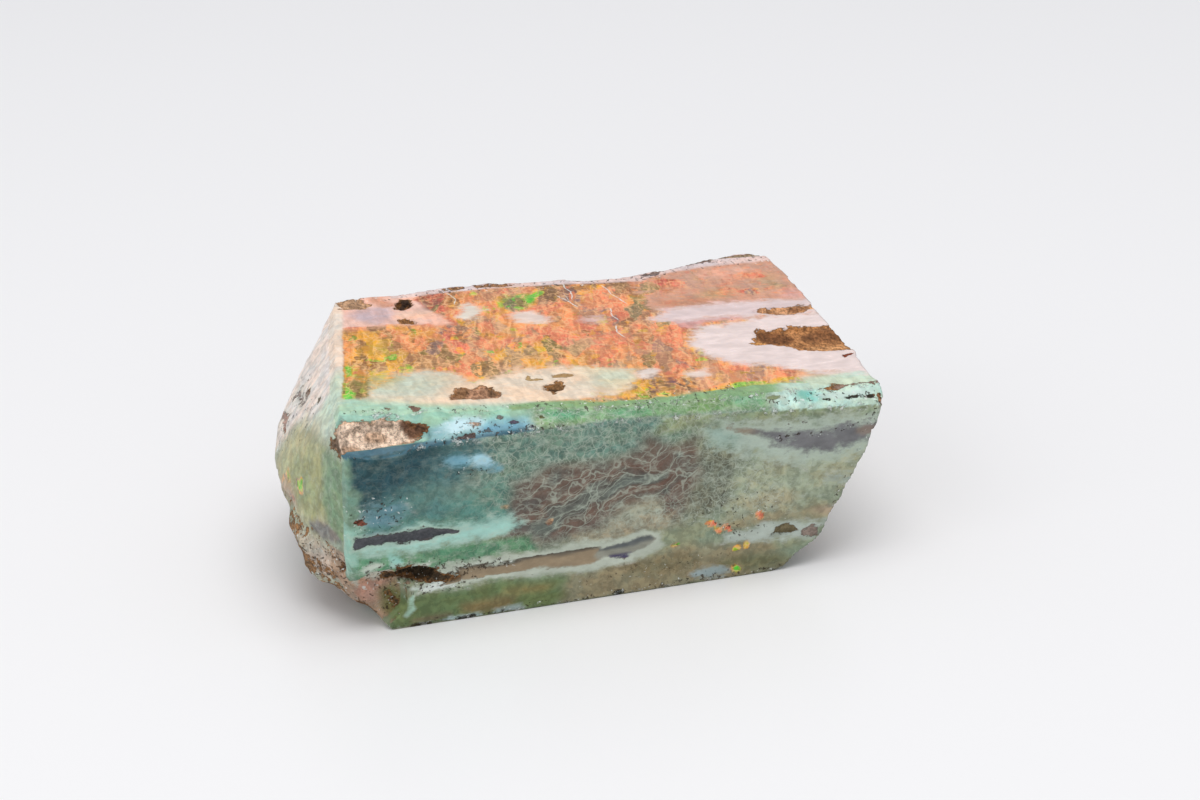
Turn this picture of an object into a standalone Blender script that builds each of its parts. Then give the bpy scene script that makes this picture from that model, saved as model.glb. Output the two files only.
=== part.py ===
"""Rough opal specimen: one block of opal that grew in streaks along its length.

The block starts as a broken lump. Five faces are then ground flat on it: the base, the front, the top and a
narrow shoulder in two facets. The left end is worn smooth; the back, the right end and the lower left corner
stay broken. Last, hollows are sunk where soft brown host rock has worn out of the opal.

The frame is metres, +X to the right along the streaks, +Y to the back and +Z up. The origin is on the
base, under the middle of the block.
"""

import math

import bmesh
import bpy
from mathutils import Matrix, Vector, geometry, noise

MM = 0.001

# Ground faces, in millimetres
FRONT_Y = -54.0
SHOULDER_LEFT = (-77.0, 52.8)
SHOULDER_KNEE = (-2.0, 53.4)
SHOULDER_RIGHT = (78.5, 47.0)
TOP_FRONT_LEFT = (-76.5, -43.0, 60.5)
TOP_FRONT_RIGHT = (79.0, -49.0, 52.0)
TOP_BACK_LEFT = (-54.5, 37.0, 63.0)

# Corners of the lump before grinding, in millimetres, from top to bottom on each side
LEFT_END = (
    (-72, -60, 71), (-69.3, -43, 71), (-47.7, 42, 71), (-75.5, -60, 66), (-76.5, -43, 60.5), (-75.5, -60, 52),
    (-57.6, 38.5, 58.4), (-63.5, 31.5, 54.5), (-68.1, 27.5, 50.5), (-73.5, 20.5, 44.5), (-77.6, 15.5, 41.9),
    (-81.6, 11.5, 39.1), (-84.9, 3.5, 36.1), (-86.3, -0.5, 33.5), (-87.5, -6.5, 29.7), (-87.3, -14.5, 25.3),
    (-86.8, -22.5, 20.1), (-86.4, -30.5, 13.8), (-85.5, -33, 11.5), (-76, -60, 21), (-80.2, -38.5, 11.5),
    (-75.2, -44.5, 9), (-70.3, -49.5, 5.5), (-60.5, -60, -3), (-61.5, -48, -3), (-77, 24, 26), (-72, 26, 14),
    (-61, 30, -3), (-76, -10, 6),
)
BACK = (
    (-50, 45, 71), (86, 60, 71), (-58, 44, 40), (86, 60, 44), (-56, 44, 24), (80, 60, 28), (-50, 40, -3),
    (56, 47, -4),
)
RIGHT_END = (
    (82, -60, 71), (90, 50, 71), (82, -60, 46), (90, 50, 46), (74, -60, 28), (82, 50, 28), (66, -60, 12),
    (74, 46, 12), (48, -60, -4), (58, 40, -4),
)

# Broken sides seen from above or from the front, in millimetres: (along the side, how far it reaches)
BACK_REACH = (
    (-90, 14), (-77, 24), (-65, 34), (-58, 39), (-54, 40.5), (-44, 41), (-40, 38), (-33, 41), (-26, 43), (-10, 44.2),
    (12, 43), (28, 40.5), (44, 43.5), (52, 47), (63, 50.5), (79, 55), (86, 52),
)
BACK_BULGE = ((0, -8), (10, -2), (25, 2.5), (42, 3), (60, 0), (70, -2))
RIGHT_REACH = (
    (-4, 38), (0, 46), (2, 50.5), (5, 52), (6.4, 55.4), (9.6, 59.3), (13, 62.3), (20, 66.1), (25, 68.8), (28.5, 70.5),
    (32, 71), (34, 73), (38, 74.6), (44, 77.4), (47, 78.6), (70, 79),
)
RIGHT_LEAN = ((-60, 0), (-48, 0.6), (-36, 0.8), (-25, 2.6), (-12, 4.2), (1, 4.3), (20, 6.2), (34, 7.7), (60, 8.2))

# Hollows: name, face, middle in millimetres, half length, half width, depth, turn in degrees, noise seed
HOLLOWS = (
    ("shoulder_patch", "shoulder_left", (-67.5, -50.4, 54.9), 13.2, 4.9, 1.9, 1, 3),
    ("corner_break", "front", (-73.0, -54.0, 10.0), 9.5, 10.0, 4.2, 0, 5),
    ("low_slot", "front", (-60.5, -54.0, 15.6), 6.0, 2.3, 3.6, 3, 7),
    ("top_long", "top", (69.5, -13.8, 54.0), 14.2, 7.4, 1.1, -13, 11),
    ("top_thin", "top", (73.0, 6.5, 54.9), 9.2, 2.5, 1.0, -11, 13),
    ("front_oval", "top", (-36.0, -36.0, 58.7), 7.6, 3.0, 1.1, -8, 17),
    ("front_knot", "top", (-13.8, -35.3, 57.5), 3.6, 2.6, 1.0, -10, 19),
    ("dark_pit", "top", (-38.4, 31.0, 61.9), 2.6, 3.4, 2.4, -20, 23),
    ("front_groove", "front", (-62.5, -54.0, 26.4), 12.5, 1.7, 0.8, 2, 29),
    ("right_groove", "front", (48.2, -54.0, 11.1), 4.6, 1.5, 0.9, 2, 31),
    ("back_left_hole", "back", (-28.0, 46.0, 31.0), 15.0, 6.5, 3.0, 5, 37),
    ("back_right_hole", "back", (38.0, 45.5, 42.0), 18.0, 5.5, 2.8, -4, 41),
    ("back_low_hole", "back", (12.0, 42.0, 13.0), 11.0, 4.0, 2.5, 3, 43),
    ("right_hole", "right", (74.0, 2.0, 30.0), 10.0, 4.5, 2.6, 3, 47),
)

# Mesh lengths, in millimetres
SKIN_VOXEL = 3.15
GROUND_SPACING = 6.0


def mm(x, y, z):
    """A point or an offset given in millimetres, in metres."""
    return Vector((x, y, z)) * MM


def smooth_step(low, high, value):
    t = min(1.0, max(0.0, (value - low) / (high - low)))
    return t * t * (3 - 2 * t)


def reach(line, at):
    """Height of a bent line at one place along it."""
    for (x0, y0), (x1, y1) in zip(line, line[1:]):
        if at <= x1:
            return y0 + (y1 - y0) * max(0.0, (at - x0) / (x1 - x0))
    return line[-1][1]


def plane_through(a, b, c):
    """(point, outward normal) of the plane through three points in millimetres."""
    a, b, c = mm(*a), mm(*b), mm(*c)
    normal = (b - a).cross(c - a).normalized()
    if normal.dot(mm(0, 0, 30) - a) > 0:
        normal.negate()
    return a, normal


def ground_planes():
    """Every ground face as name: (point, outward normal)."""
    left = (SHOULDER_LEFT[0], FRONT_Y, SHOULDER_LEFT[1])
    knee = (SHOULDER_KNEE[0], FRONT_Y, SHOULDER_KNEE[1])
    right = (SHOULDER_RIGHT[0], FRONT_Y, SHOULDER_RIGHT[1])
    return {
        "top": plane_through(TOP_FRONT_LEFT, TOP_FRONT_RIGHT, TOP_BACK_LEFT),
        "front": (mm(0, FRONT_Y, 0), Vector((0, -1, 0))),
        "shoulder_left": plane_through(left, knee, TOP_FRONT_LEFT),
        "shoulder_right": plane_through(knee, right, TOP_FRONT_RIGHT),
        "base": (Vector(), Vector((0, 0, -1))),
    }


def evaluated_bmesh(obj):
    """The object's mesh with its modifiers applied, as a bmesh. The object itself is removed."""
    bpy.context.view_layer.update()
    mesh = bpy.data.meshes.new_from_object(obj.evaluated_get(bpy.context.evaluated_depsgraph_get()))
    bpy.data.objects.remove(obj)
    bm = bmesh.new()
    bm.from_mesh(mesh)
    bpy.data.meshes.remove(mesh)
    return bm


def as_object(bm, name):
    mesh = bpy.data.meshes.new(name)
    bm.to_mesh(mesh)
    bm.free()
    obj = bpy.data.objects.new(name, mesh)
    bpy.context.scene.collection.objects.link(obj)
    return obj


def evenly_meshed(bm):
    """The same closed shape with an even mesh."""
    lump_object = as_object(bm, "lump")
    remesh = lump_object.modifiers.new("Even skin", "REMESH")
    remesh.mode = "VOXEL"
    remesh.voxel_size = SKIN_VOXEL * MM
    return evaluated_bmesh(lump_object)


def lump():
    """The broken lump: a hull of its corners, pressed in to the reach of the back and the right end."""
    bm = bmesh.new()
    for corner in LEFT_END + BACK + RIGHT_END:
        bm.verts.new(mm(*corner))
    bmesh.ops.convex_hull(bm, input=bm.verts)
    bmesh.ops.delete(bm, geom=[v for v in bm.verts if not v.link_faces], context="VERTS")
    bm = evenly_meshed(bm)
    for v in bm.verts:
        x, y, z = v.co / MM
        v.co.y = min(y, reach(BACK_REACH, x) + reach(BACK_BULGE, z)) * MM
        v.co.x = min(x, reach(RIGHT_REACH, z) + reach(RIGHT_LEAN, y)) * MM
    return evenly_meshed(bm)


def roughness(p):
    """How rough the broken skin is at a point in millimetres, from 0 on the worn left end to 1."""
    worn_line = 21 + 0.15 * (p.y + 54)
    crumbly = 1 - smooth_step(worn_line - 3, worn_line + 2, p.z)
    away_from_left = smooth_step(-66, -48, p.x + 0.35 * p.y)
    return max(0.12, crumbly, away_from_left)


def roughen(bm):
    """Lumps, ledges along the streaks and small bumps on the broken skin."""
    bm.normal_update()
    moved = []
    for v in bm.verts:
        p = v.co / MM
        calm = 1 - 0.7 * smooth_step(48, 60, p.z)
        lumps = noise.noise(Vector((p.x / 30, p.y / 20, p.z / 20))) * 2.0 * calm
        bumps = noise.fractal(Vector((p.x / 9, p.y / 7, p.z / 7)), 1.0, 2.0, 3) * 1.0
        wave = p.z / 2.6 + 3 * noise.noise(Vector((p.x / 45, p.y / 45, p.z / 30)))
        ledges = abs((wave / math.pi) % 1 - 0.5) * 2.0 * calm
        moved.append(v.co + v.normal * (roughness(p) * (lumps + bumps + ledges - 0.6)) * MM)
    for v, co in zip(bm.verts, moved):
        v.co = co


def grind(bm, point, normal):
    """Cuts off what is outside the plane and closes the cut with an even grid of triangles."""
    everything = bm.verts[:] + bm.edges[:] + bm.faces[:]
    cut = bmesh.ops.bisect_plane(
        bm, geom=everything, dist=1e-6, plane_co=point, plane_no=normal, clear_outer=True
    )
    rim = [e for e in cut["geom_cut"] if isinstance(e, bmesh.types.BMEdge) and e.is_boundary]
    turn = normal.to_track_quat("Z", "Y").to_matrix()
    flatten = turn.transposed()
    corners = list({v: None for e in rim for v in e.verts})
    index = {v: i for i, v in enumerate(corners)}
    flat = [(flatten @ (v.co - point)).to_2d() for v in corners]
    spacing = GROUND_SPACING * MM
    low = Vector((min(p.x for p in flat), min(p.y for p in flat)))
    high = Vector((max(p.x for p in flat), max(p.y for p in flat)))
    row_height = spacing * math.sqrt(3) / 2
    grid = []
    for row in range(int((high.y - low.y) / row_height) + 2):
        for column in range(int((high.x - low.x) / spacing) + 2):
            p = low + Vector((spacing * (column + 0.5 * (row % 2)), row_height * row))
            if min((p - q).length for q in flat) > 0.6 * spacing:
                grid.append(p)
    edges = [(index[e.verts[0]], index[e.verts[1]]) for e in rim]
    made = geometry.delaunay_2d_cdt(flat + grid, edges, [], 1, 1e-7)
    points, faces, sources = made[0], made[2], made[3]
    verts = {}
    for i in sorted({i for face in faces for i in face}):
        known = [k for k in sources[i] if k < len(corners)]
        verts[i] = corners[known[0]] if known else bm.verts.new(turn @ points[i].to_3d() + point)
    for face in faces:
        bm.faces.new([verts[i] for i in face])


def hollow_cutter(name, face_normal, middle, half_length, half_width, depth, turn, seed):
    """A rough rounded slab that is taken out of a face, half in and half out of it."""
    bm = bmesh.new()
    bmesh.ops.create_icosphere(bm, subdivisions=3 if half_length > 7 else 2, radius=1.0)
    away = Vector((seed, 2 * seed, 3 * seed)) * 1.7
    for v in bm.verts:
        flat = math.hypot(v.co.x, v.co.y)
        square = (flat**3.2 + abs(v.co.z) ** 3.2) ** (-1 / 3.2)
        outline = 1 + 0.30 * noise.fractal(Vector((v.co.x * 1.6, v.co.y * 1.6, 0)) + away, 1.0, 2.0, 3)
        floor = 1 + 0.35 * noise.noise(Vector((v.co.x * 2.5, v.co.y * 2.5, 5)) + away)
        v.co = Vector((
            v.co.x * square * outline * half_length,
            v.co.y * square * outline * half_width,
            v.co.z * square * (floor * depth if v.co.z < 0 else 2.0),
        )) * MM
    along = Vector((1, 0, 0)) - face_normal * face_normal.x
    along = (Vector((0, 1, 0)) if along.length < 0.5 else along).normalized()
    along = (along - face_normal * along.dot(face_normal)).normalized()
    across = face_normal.cross(along)
    axes = Matrix((along, across, face_normal)).transposed() @ Matrix.Rotation(math.radians(turn), 3, "Z")
    bm.transform(Matrix.Translation(mm(*middle)) @ axes.to_4x4())
    cutter = as_object(bm, "cutter_" + name)
    cutter.hide_render = True
    cutter.display_type = "WIRE"
    return cutter


def opal_material():
    material = bpy.data.materials.new("opal")
    material.use_nodes = True
    shader = material.node_tree.nodes["Principled BSDF"]
    shader.inputs["Base Color"].default_value = (0.33, 0.46, 0.40, 1)
    shader.inputs["Roughness"].default_value = 0.22
    return material


def main():
    for obj in list(bpy.data.objects):
        bpy.data.objects.remove(obj)
    bm = lump()
    roughen(bm)
    planes = ground_planes()
    for point, normal in planes.values():
        grind(bm, point, normal)
    bmesh.ops.triangulate(bm, faces=bm.faces[:])
    bmesh.ops.recalc_face_normals(bm, faces=bm.faces[:])
    block = as_object(bm, "uncut_block")
    normals = {name: normal for name, (point, normal) in planes.items()}
    normals["back"] = Vector((0, 1, 0))
    normals["right"] = Vector((0.9, 0.0, -0.44)).normalized()
    for name, face, middle, half_length, half_width, depth, turn, seed in HOLLOWS:
        cut = block.modifiers.new(name, "BOOLEAN")
        cut.operation = "DIFFERENCE"
        cut.solver = "EXACT"
        cut.object = hollow_cutter(name, normals[face], middle, half_length, half_width, depth, turn, seed)
    bm = evaluated_bmesh(block)
    for obj in [o for o in bpy.data.objects if o.name.startswith("cutter_")]:
        bpy.data.objects.remove(obj)
    bmesh.ops.triangulate(bm, faces=bm.faces[:])
    middle = [(min(v.co[i] for v in bm.verts) + max(v.co[i] for v in bm.verts)) / 2 for i in range(2)]
    bm.transform(Matrix.Translation((-middle[0], -middle[1], 0)))
    block = as_object(bm, "opal_block")
    block.data.materials.clear()
    block.data.materials.append(opal_material())


main()
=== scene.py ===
"""Rough opal specimen, dressed for display.

The block gets a fine skin over its solid: crumbly hollows, chipped edges and a rough broken side. Its
finish is one solid opal. Outlines on each face, in millimetres, say where the fire, the milky lenses, the
smoky heart and the brown host rock lie, and the shader gives each of them its grain.
"""

import math

import bpy
import numpy as np
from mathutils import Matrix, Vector, noise


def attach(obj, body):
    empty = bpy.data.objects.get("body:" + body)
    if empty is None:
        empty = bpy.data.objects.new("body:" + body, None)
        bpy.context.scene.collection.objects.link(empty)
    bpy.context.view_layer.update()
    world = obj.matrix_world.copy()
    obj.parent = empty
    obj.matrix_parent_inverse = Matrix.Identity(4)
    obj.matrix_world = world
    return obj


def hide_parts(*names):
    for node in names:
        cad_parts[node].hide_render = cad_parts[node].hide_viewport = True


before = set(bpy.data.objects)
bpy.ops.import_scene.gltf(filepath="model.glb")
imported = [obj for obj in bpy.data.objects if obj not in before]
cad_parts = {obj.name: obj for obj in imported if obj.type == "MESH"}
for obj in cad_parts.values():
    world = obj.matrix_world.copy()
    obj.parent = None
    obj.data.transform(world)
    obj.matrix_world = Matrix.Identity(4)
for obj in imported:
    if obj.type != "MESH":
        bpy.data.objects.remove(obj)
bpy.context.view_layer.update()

bl_info = {
    "name": "Rough opal specimen",
    "version": (1, 0, 0),
    "blender": (4, 5, 0),
    "location": "View3D > Sidebar > Opal",
    "description": "Builds a block of rough opal with ground faces on a pale studio floor",
    "category": "Object",
}

NODE = "opal_block"
MM = 0.001


# Outlines ---------------------------------------------------------------------------------------------

def oval(u, v, half_u, half_v, turn=0.0, corners=14):
    """An ellipse as an outline. Turn is in degrees."""
    cos, sin = math.cos(math.radians(turn)), math.sin(math.radians(turn))
    points = []
    for i in range(corners):
        a = 2 * math.pi * i / corners
        x, y = half_u * math.cos(a), half_v * math.sin(a)
        points.append((u + x * cos - y * sin, v + x * sin + y * cos))
    return points


# Places on a face are in millimetres: top (x, y), front (x, z), left (y, z), shoulder, which is the bevel
# between top and front (x, height up the slope from 0 to 12), and break, which is the broken corner under
# the left of the front (x, z). Patches on these faces get a wavy edge. Those on rim, which is the top again
# (x, y), keep their outline. In each list a later patch covers an earlier one.

PINK_CORNER = [(-70, 13), (-45, 14), (-29, 13), (-28, 18), (-33, 24), (-34, 33), (-30, 40), (-70, 46)]
BACK_STRIP = [(-40, 36), (-20, 36.4), (0, 36.8), (20, 36.8), (38, 35.5), (47, 39.5), (60, 43.5), (88, 46),
              (88, 64), (40, 60), (-34, 50)]
LEFT_ARRIS = [(-53.5, 42), (-57.5, 25), (-61.5, 10), (-65, -5), (-69, -20), (-73, -33), (-75, -42),
              (-95, -42), (-95, 60), (-52, 60)]
PLUM_SPOT = oval(22, -39, 2.2, 3.6, -14)
PLUM_DOT = oval(14.5, -42.5, 1.8, 2.6, -14)
BROKEN_CORNER = [(-90, -4), (-90, 26), (-50, 26), (-50, -4)]

# (face, outline, softness of the edge, colour): ground colour of the opal, and a painted highlight on an
# arris

BODY_AND_HIGHLIGHTS = (
    # top
    ("top", [(-90, 16), (-66, 14), (-38, 12), (-34, -4), (-40, -22), (-62, -22),
             (-90, -40)], 4.0, (0.60, 0.40, 0.08)),
    ("top", oval(-28, 29, 11, 10), 4.0, (0.46, 0.24, 0.14)),
    ("top", oval(-53, 2, 5, 7, -10), 3.0, (0.66, 0.40, 0.16)),
    ("top", oval(-30, 6, 7, 7), 3.0, (0.50, 0.36, 0.30)),
    ("top", oval(-10, -14, 16, 10), 4.0, (0.66, 0.56, 0.38)),
    ("top", oval(18, 35, 19, 4), 2.0, (0.48, 0.32, 0.16)),
    ("top", oval(-3, 26, 6, 6), 2.0, (0.40, 0.46, 0.18)),
    ("top", oval(12, 26, 5, 7), 3.0, (0.48, 0.36, 0.38)),
    ("top", oval(8, 30, 4, 5), 2.0, (0.46, 0.34, 0.24)),
    ("top", oval(21, -4, 13, 24), 5.0, (0.76, 0.54, 0.41)),
    ("top", oval(18, -41, 12, 7), 3.0, (0.42, 0.33, 0.22)),
    ("top", PLUM_SPOT, 1.6, (0.42, 0.30, 0.33)),
    ("top", PLUM_DOT, 1.4, (0.42, 0.31, 0.32)),
    ("top", oval(-40, -14, 9, 6), 4.0, (0.76, 0.57, 0.36)),
    ("top", [(32, 12), (34, 36), (38, 45), (90, 60), (90, 12)], 3.0, (0.80, 0.60, 0.50)),
    ("top", oval(60, 22, 7, 4, 8), 3.0, (0.72, 0.58, 0.43)),
    ("top", oval(48, 18, 9, 3.4), 3.0, (0.76, 0.54, 0.42)),
    ("top", oval(78, 29, 5, 7), 3.0, (0.76, 0.61, 0.48)),
    ("top", oval(66, 38, 11, 4, 10), 3.0, (0.88, 0.66, 0.56)),
    ("top", oval(82, 18, 5, 4), 3.0, (0.85, 0.63, 0.57)),
    ("top", PINK_CORNER, 1.5, (0.93, 0.74, 0.66)),
    ("top", oval(-49, 23, 7, 6, 60), 3.0, (0.80, 0.69, 0.69)),
    ("top", oval(-38, 20, 6, 3, 20), 2.0, (0.94, 0.76, 0.66)),
    ("top", oval(-45, 33, 3.0, 5, -15), 1.2, (0.84, 0.62, 0.52)),
    ("top", [(46, 1), (60, 1), (60, 3.5), (38, 3.5), (34, -3), (42, -5)], 1.6, (0.82, 0.60, 0.57)),
    ("top", [(34, -30), (50, -37), (62, -43), (50, -46), (26, -47), (31, -38)], 2.0, (0.98, 0.68, 0.50)),
    ("top", BACK_STRIP, 0.8, (0.88, 0.79, 0.77)),
    ("top", [(-68, -38), (-62, -26), (-54, -20), (-45, -18.5), (-39, -22), (-35, -29), (-28, -26),
             (-19, -22.5), (-6, -22), (5, -25), (11, -30), (12, -35), (9, -41), (2, -45), (-8, -47),
             (-24, -52), (-45, -50), (-62, -46)], 2.4, (0.91, 0.82, 0.72)),
    ("top", oval(-54, -28, 13, 9), 6.0, (0.78, 0.79, 0.70)),
    ("top", oval(-61, -23, 6, 4), 4.0, (0.72, 0.70, 0.50)),
    ("top", oval(4, -33, 8, 8), 5.0, (0.82, 0.81, 0.70)),
    ("top", [(-90, -26), (-73, -31), (-62, -38), (-45, -43), (-28, -46), (-14, -50), (-14, -62),
             (-95, -62)], 3.0, (0.67, 0.80, 0.69)),
    ("top", [(-30, -46.5), (-15, -47), (5, -47.5), (20, -47), (33, -46), (45, -45), (55, -44.5),
             (68, -46), (68, -62), (-30, -62)], 0.9, (0.53, 0.66, 0.47)),
    ("top", [(50, -45.5), (60, -43), (72, -42), (84, -39), (90, -62),
             (48, -62)], 2.5, (0.76, 0.84, 0.76)),
    ("rim", LEFT_ARRIS, 0.6, (0.90, 0.83, 0.76)),
    ("rim", [(-67, -16), (-72, -38), (-95, -38), (-95, -16)], 5.0, (0.76, 0.83, 0.74)),
    ("rim", [(-71, -37), (-75, -60), (-95, -60), (-95, -37)], 3.0, (0.66, 0.80, 0.70)),
    ("rim", [(-66.2, -10), (-69, -20), (-73, -33), (-66, -34), (-62, -20)], 0.5, (0.55, 0.52, 0.24)),
    # front
    ("front", [(-90, 36), (-66, 35), (-50, 37), (-42, 40), (-34, 45), (-34, 62),
               (-90, 62)], 5.0, (0.30, 0.45, 0.45)),
    ("front", [(-90, 36), (-70, 37), (-62, 40), (-55, 48), (-50, 54),
               (-90, 60)], 5.0, (0.18, 0.32, 0.35)),
    ("front", [(-90, 29), (-30, 28), (-26, 42), (-45, 38), (-66, 34),
               (-90, 36)], 3.0, (0.36, 0.54, 0.49)),
    ("front", oval(-60, 37, 9, 4, -8), 3.0, (0.34, 0.50, 0.48)),
    ("front", [(-40, 40), (-20, 41), (5, 42), (20, 44), (20, 62), (-40, 62)], 4.0, (0.41, 0.53, 0.47)),
    ("front", [(-31, 39), (-18, 42), (0, 41), (14, 42), (22, 38), (25, 28), (18, 20), (4, 20), (-8, 20),
               (-20, 19), (-32, 22), (-31, 30)], 3.5, (0.41, 0.35, 0.32)),
    ("front", oval(4, 25.5, 9, 4), 2.5, (0.62, 0.62, 0.54)),
    ("front", [(-14, 18.4), (14, 19), (17, 23.5), (2, 23), (-14, 21)], 1.6, (0.66, 0.62, 0.52)),
    ("front", [(20, 20), (38, 21), (38, 38), (20, 42)], 4.0, (0.45, 0.46, 0.39)),
    ("front", [(32, 19), (78, 20), (82, 37), (36, 37)], 3.0, (0.63, 0.65, 0.54)),
    ("front", oval(45, 22, 8, 3), 3.0, (0.66, 0.65, 0.54)),
    ("front", [(10, 47), (30, 49), (84, 46), (84, 60), (10, 60)], 1.5, (0.55, 0.60, 0.46)),
    ("front", oval(46, 16.5, 18, 2.4), 2.0, (0.60, 0.58, 0.47)),
    ("front", oval(68, 16.5, 10, 1.6), 1.5, (0.66, 0.61, 0.53)),
    ("front", [(-82, 23), (-45, 23), (-25, 22.5), (-25, 18.5), (-45, 17.5),
               (-82, 17)], 1.2, (0.36, 0.56, 0.42)),
    ("front", [(-66, 10.5), (-45, 10), (-25, 9.5), (-10, 9), (-14, -4),
               (-70, -4)], 2.0, (0.43, 0.50, 0.33)),
    ("front", [(-16, 10), (20, 12), (45, 10), (56, -4), (-20, -4)], 3.0, (0.58, 0.55, 0.44)),
    ("front", oval(12, 7, 10, 3), 2.5, (0.50, 0.47, 0.36)),
    ("front", oval(40, 4, 12, 2.6), 2.0, (0.47, 0.47, 0.35)),
    ("front", oval(-40, 3.6, 9, 2.2, 4), 1.5, (0.52, 0.47, 0.32)),
    ("front", oval(-27, 6.5, 8, 1.6, 3), 1.5, (0.55, 0.52, 0.34)),
    ("front", oval(-56, 2.4, 5, 1.2, 3), 1.0, (0.48, 0.44, 0.33)),
    # Paler mint strip along the front-left arris: painted highlight on the edge
    ("front", [(-84, 14), (-84, 56), (-76.5, 56), (-74.5, 40), (-75.5, 22),
               (-76, 14)], 1.0, (0.47, 0.60, 0.52)),
    # shoulder
    ("shoulder", [(-95, -4), (-95, 14), (-54, 14), (-54, -4)], 2.0, (0.60, 0.76, 0.68)),
    ("shoulder", [(-56, -4), (-56, 14), (-24, 14), (-24, -4)], 3.0, (0.52, 0.70, 0.72)),
    ("shoulder", [(-56, 7), (-24, 7), (-24, 14), (-56, 14)], 2.0, (0.60, 0.78, 0.68)),
    ("shoulder", [(-24, -4), (-24, 14), (46, 14), (46, -4)], 4.0, (0.48, 0.62, 0.42)),
    ("shoulder", oval(-14, 7, 7, 3), 3.0, (0.30, 0.60, 0.42)),
    ("shoulder", oval(2, 6, 6, 4), 3.0, (0.36, 0.58, 0.40)),
    ("shoulder", oval(20, 6, 8, 3), 3.0, (0.44, 0.60, 0.36)),
    ("shoulder", oval(38, 7, 6, 3), 3.0, (0.46, 0.66, 0.50)),
    ("shoulder", [(-24, -4), (46, -4), (46, 1.5), (-24, 1.5)], 1.5, (0.50, 0.58, 0.50)),
    ("shoulder", [(46, -4), (46, 14), (95, 14), (95, -4)], 3.0, (0.77, 0.88, 0.82)),
    ("shoulder", oval(57, 8, 4, 4), 2.0, (0.54, 0.80, 0.74)),
    ("shoulder", [(-90, -4), (-90, 2.8), (-60, 2.8), (-52, 1.4), (-24, 1.8),
                  (-24, -4)], 0.8, (0.28, 0.42, 0.47)),
    ("shoulder", oval(-34, 2.6, 9, 1.4), 1.4, (0.40, 0.60, 0.68)),
    ("shoulder", oval(-44, 7, 5, 2), 2.0, (0.66, 0.82, 0.82)),
    # left end
    ("left", [(60, 36), (0, 36), (-12, 47), (-26, 53), (-40, 55), (-60, 62), (-60, 75),
              (60, 75)], 4.0, (0.92, 0.86, 0.82)),
    ("left", [(-22, 52), (-40, 54), (-60, 50), (-60, 66), (-24, 62)], 4.0, (0.76, 0.84, 0.76)),
    ("left", [(-4, 34), (-14, 46), (-40, 52), (-46, 40), (-40, 27), (-20, 26),
              (-6, 29)], 5.0, (0.71, 0.70, 0.52)),
    ("left", [(-18, 36), (-28, 46), (-42, 48), (-46, 40), (-40, 28), (-26, 28)], 4.0, (0.61, 0.63, 0.44)),
    ("left", [(-40, 50), (-60, 52), (-60, 22), (-44, 27), (-42, 40)], 3.0, (0.48, 0.58, 0.44)),
    ("left", oval(-18, 29, 8, 3), 2.0, (0.72, 0.62, 0.52)),
    ("left", oval(-43, 27, 8, 2.4, 4), 1.0, (0.50, 0.48, 0.46)),
    # broken corner
    ("break", BROKEN_CORNER, 1.0, (0.72, 0.62, 0.53)),
    ("break", oval(-71, 12, 5, 4), 2.0, (0.80, 0.62, 0.54)),
    ("break", [(-69, 13), (-65, 14), (-60, 10), (-60, -2), (-66, -2)], 2.0, (0.50, 0.49, 0.32)),
)

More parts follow.
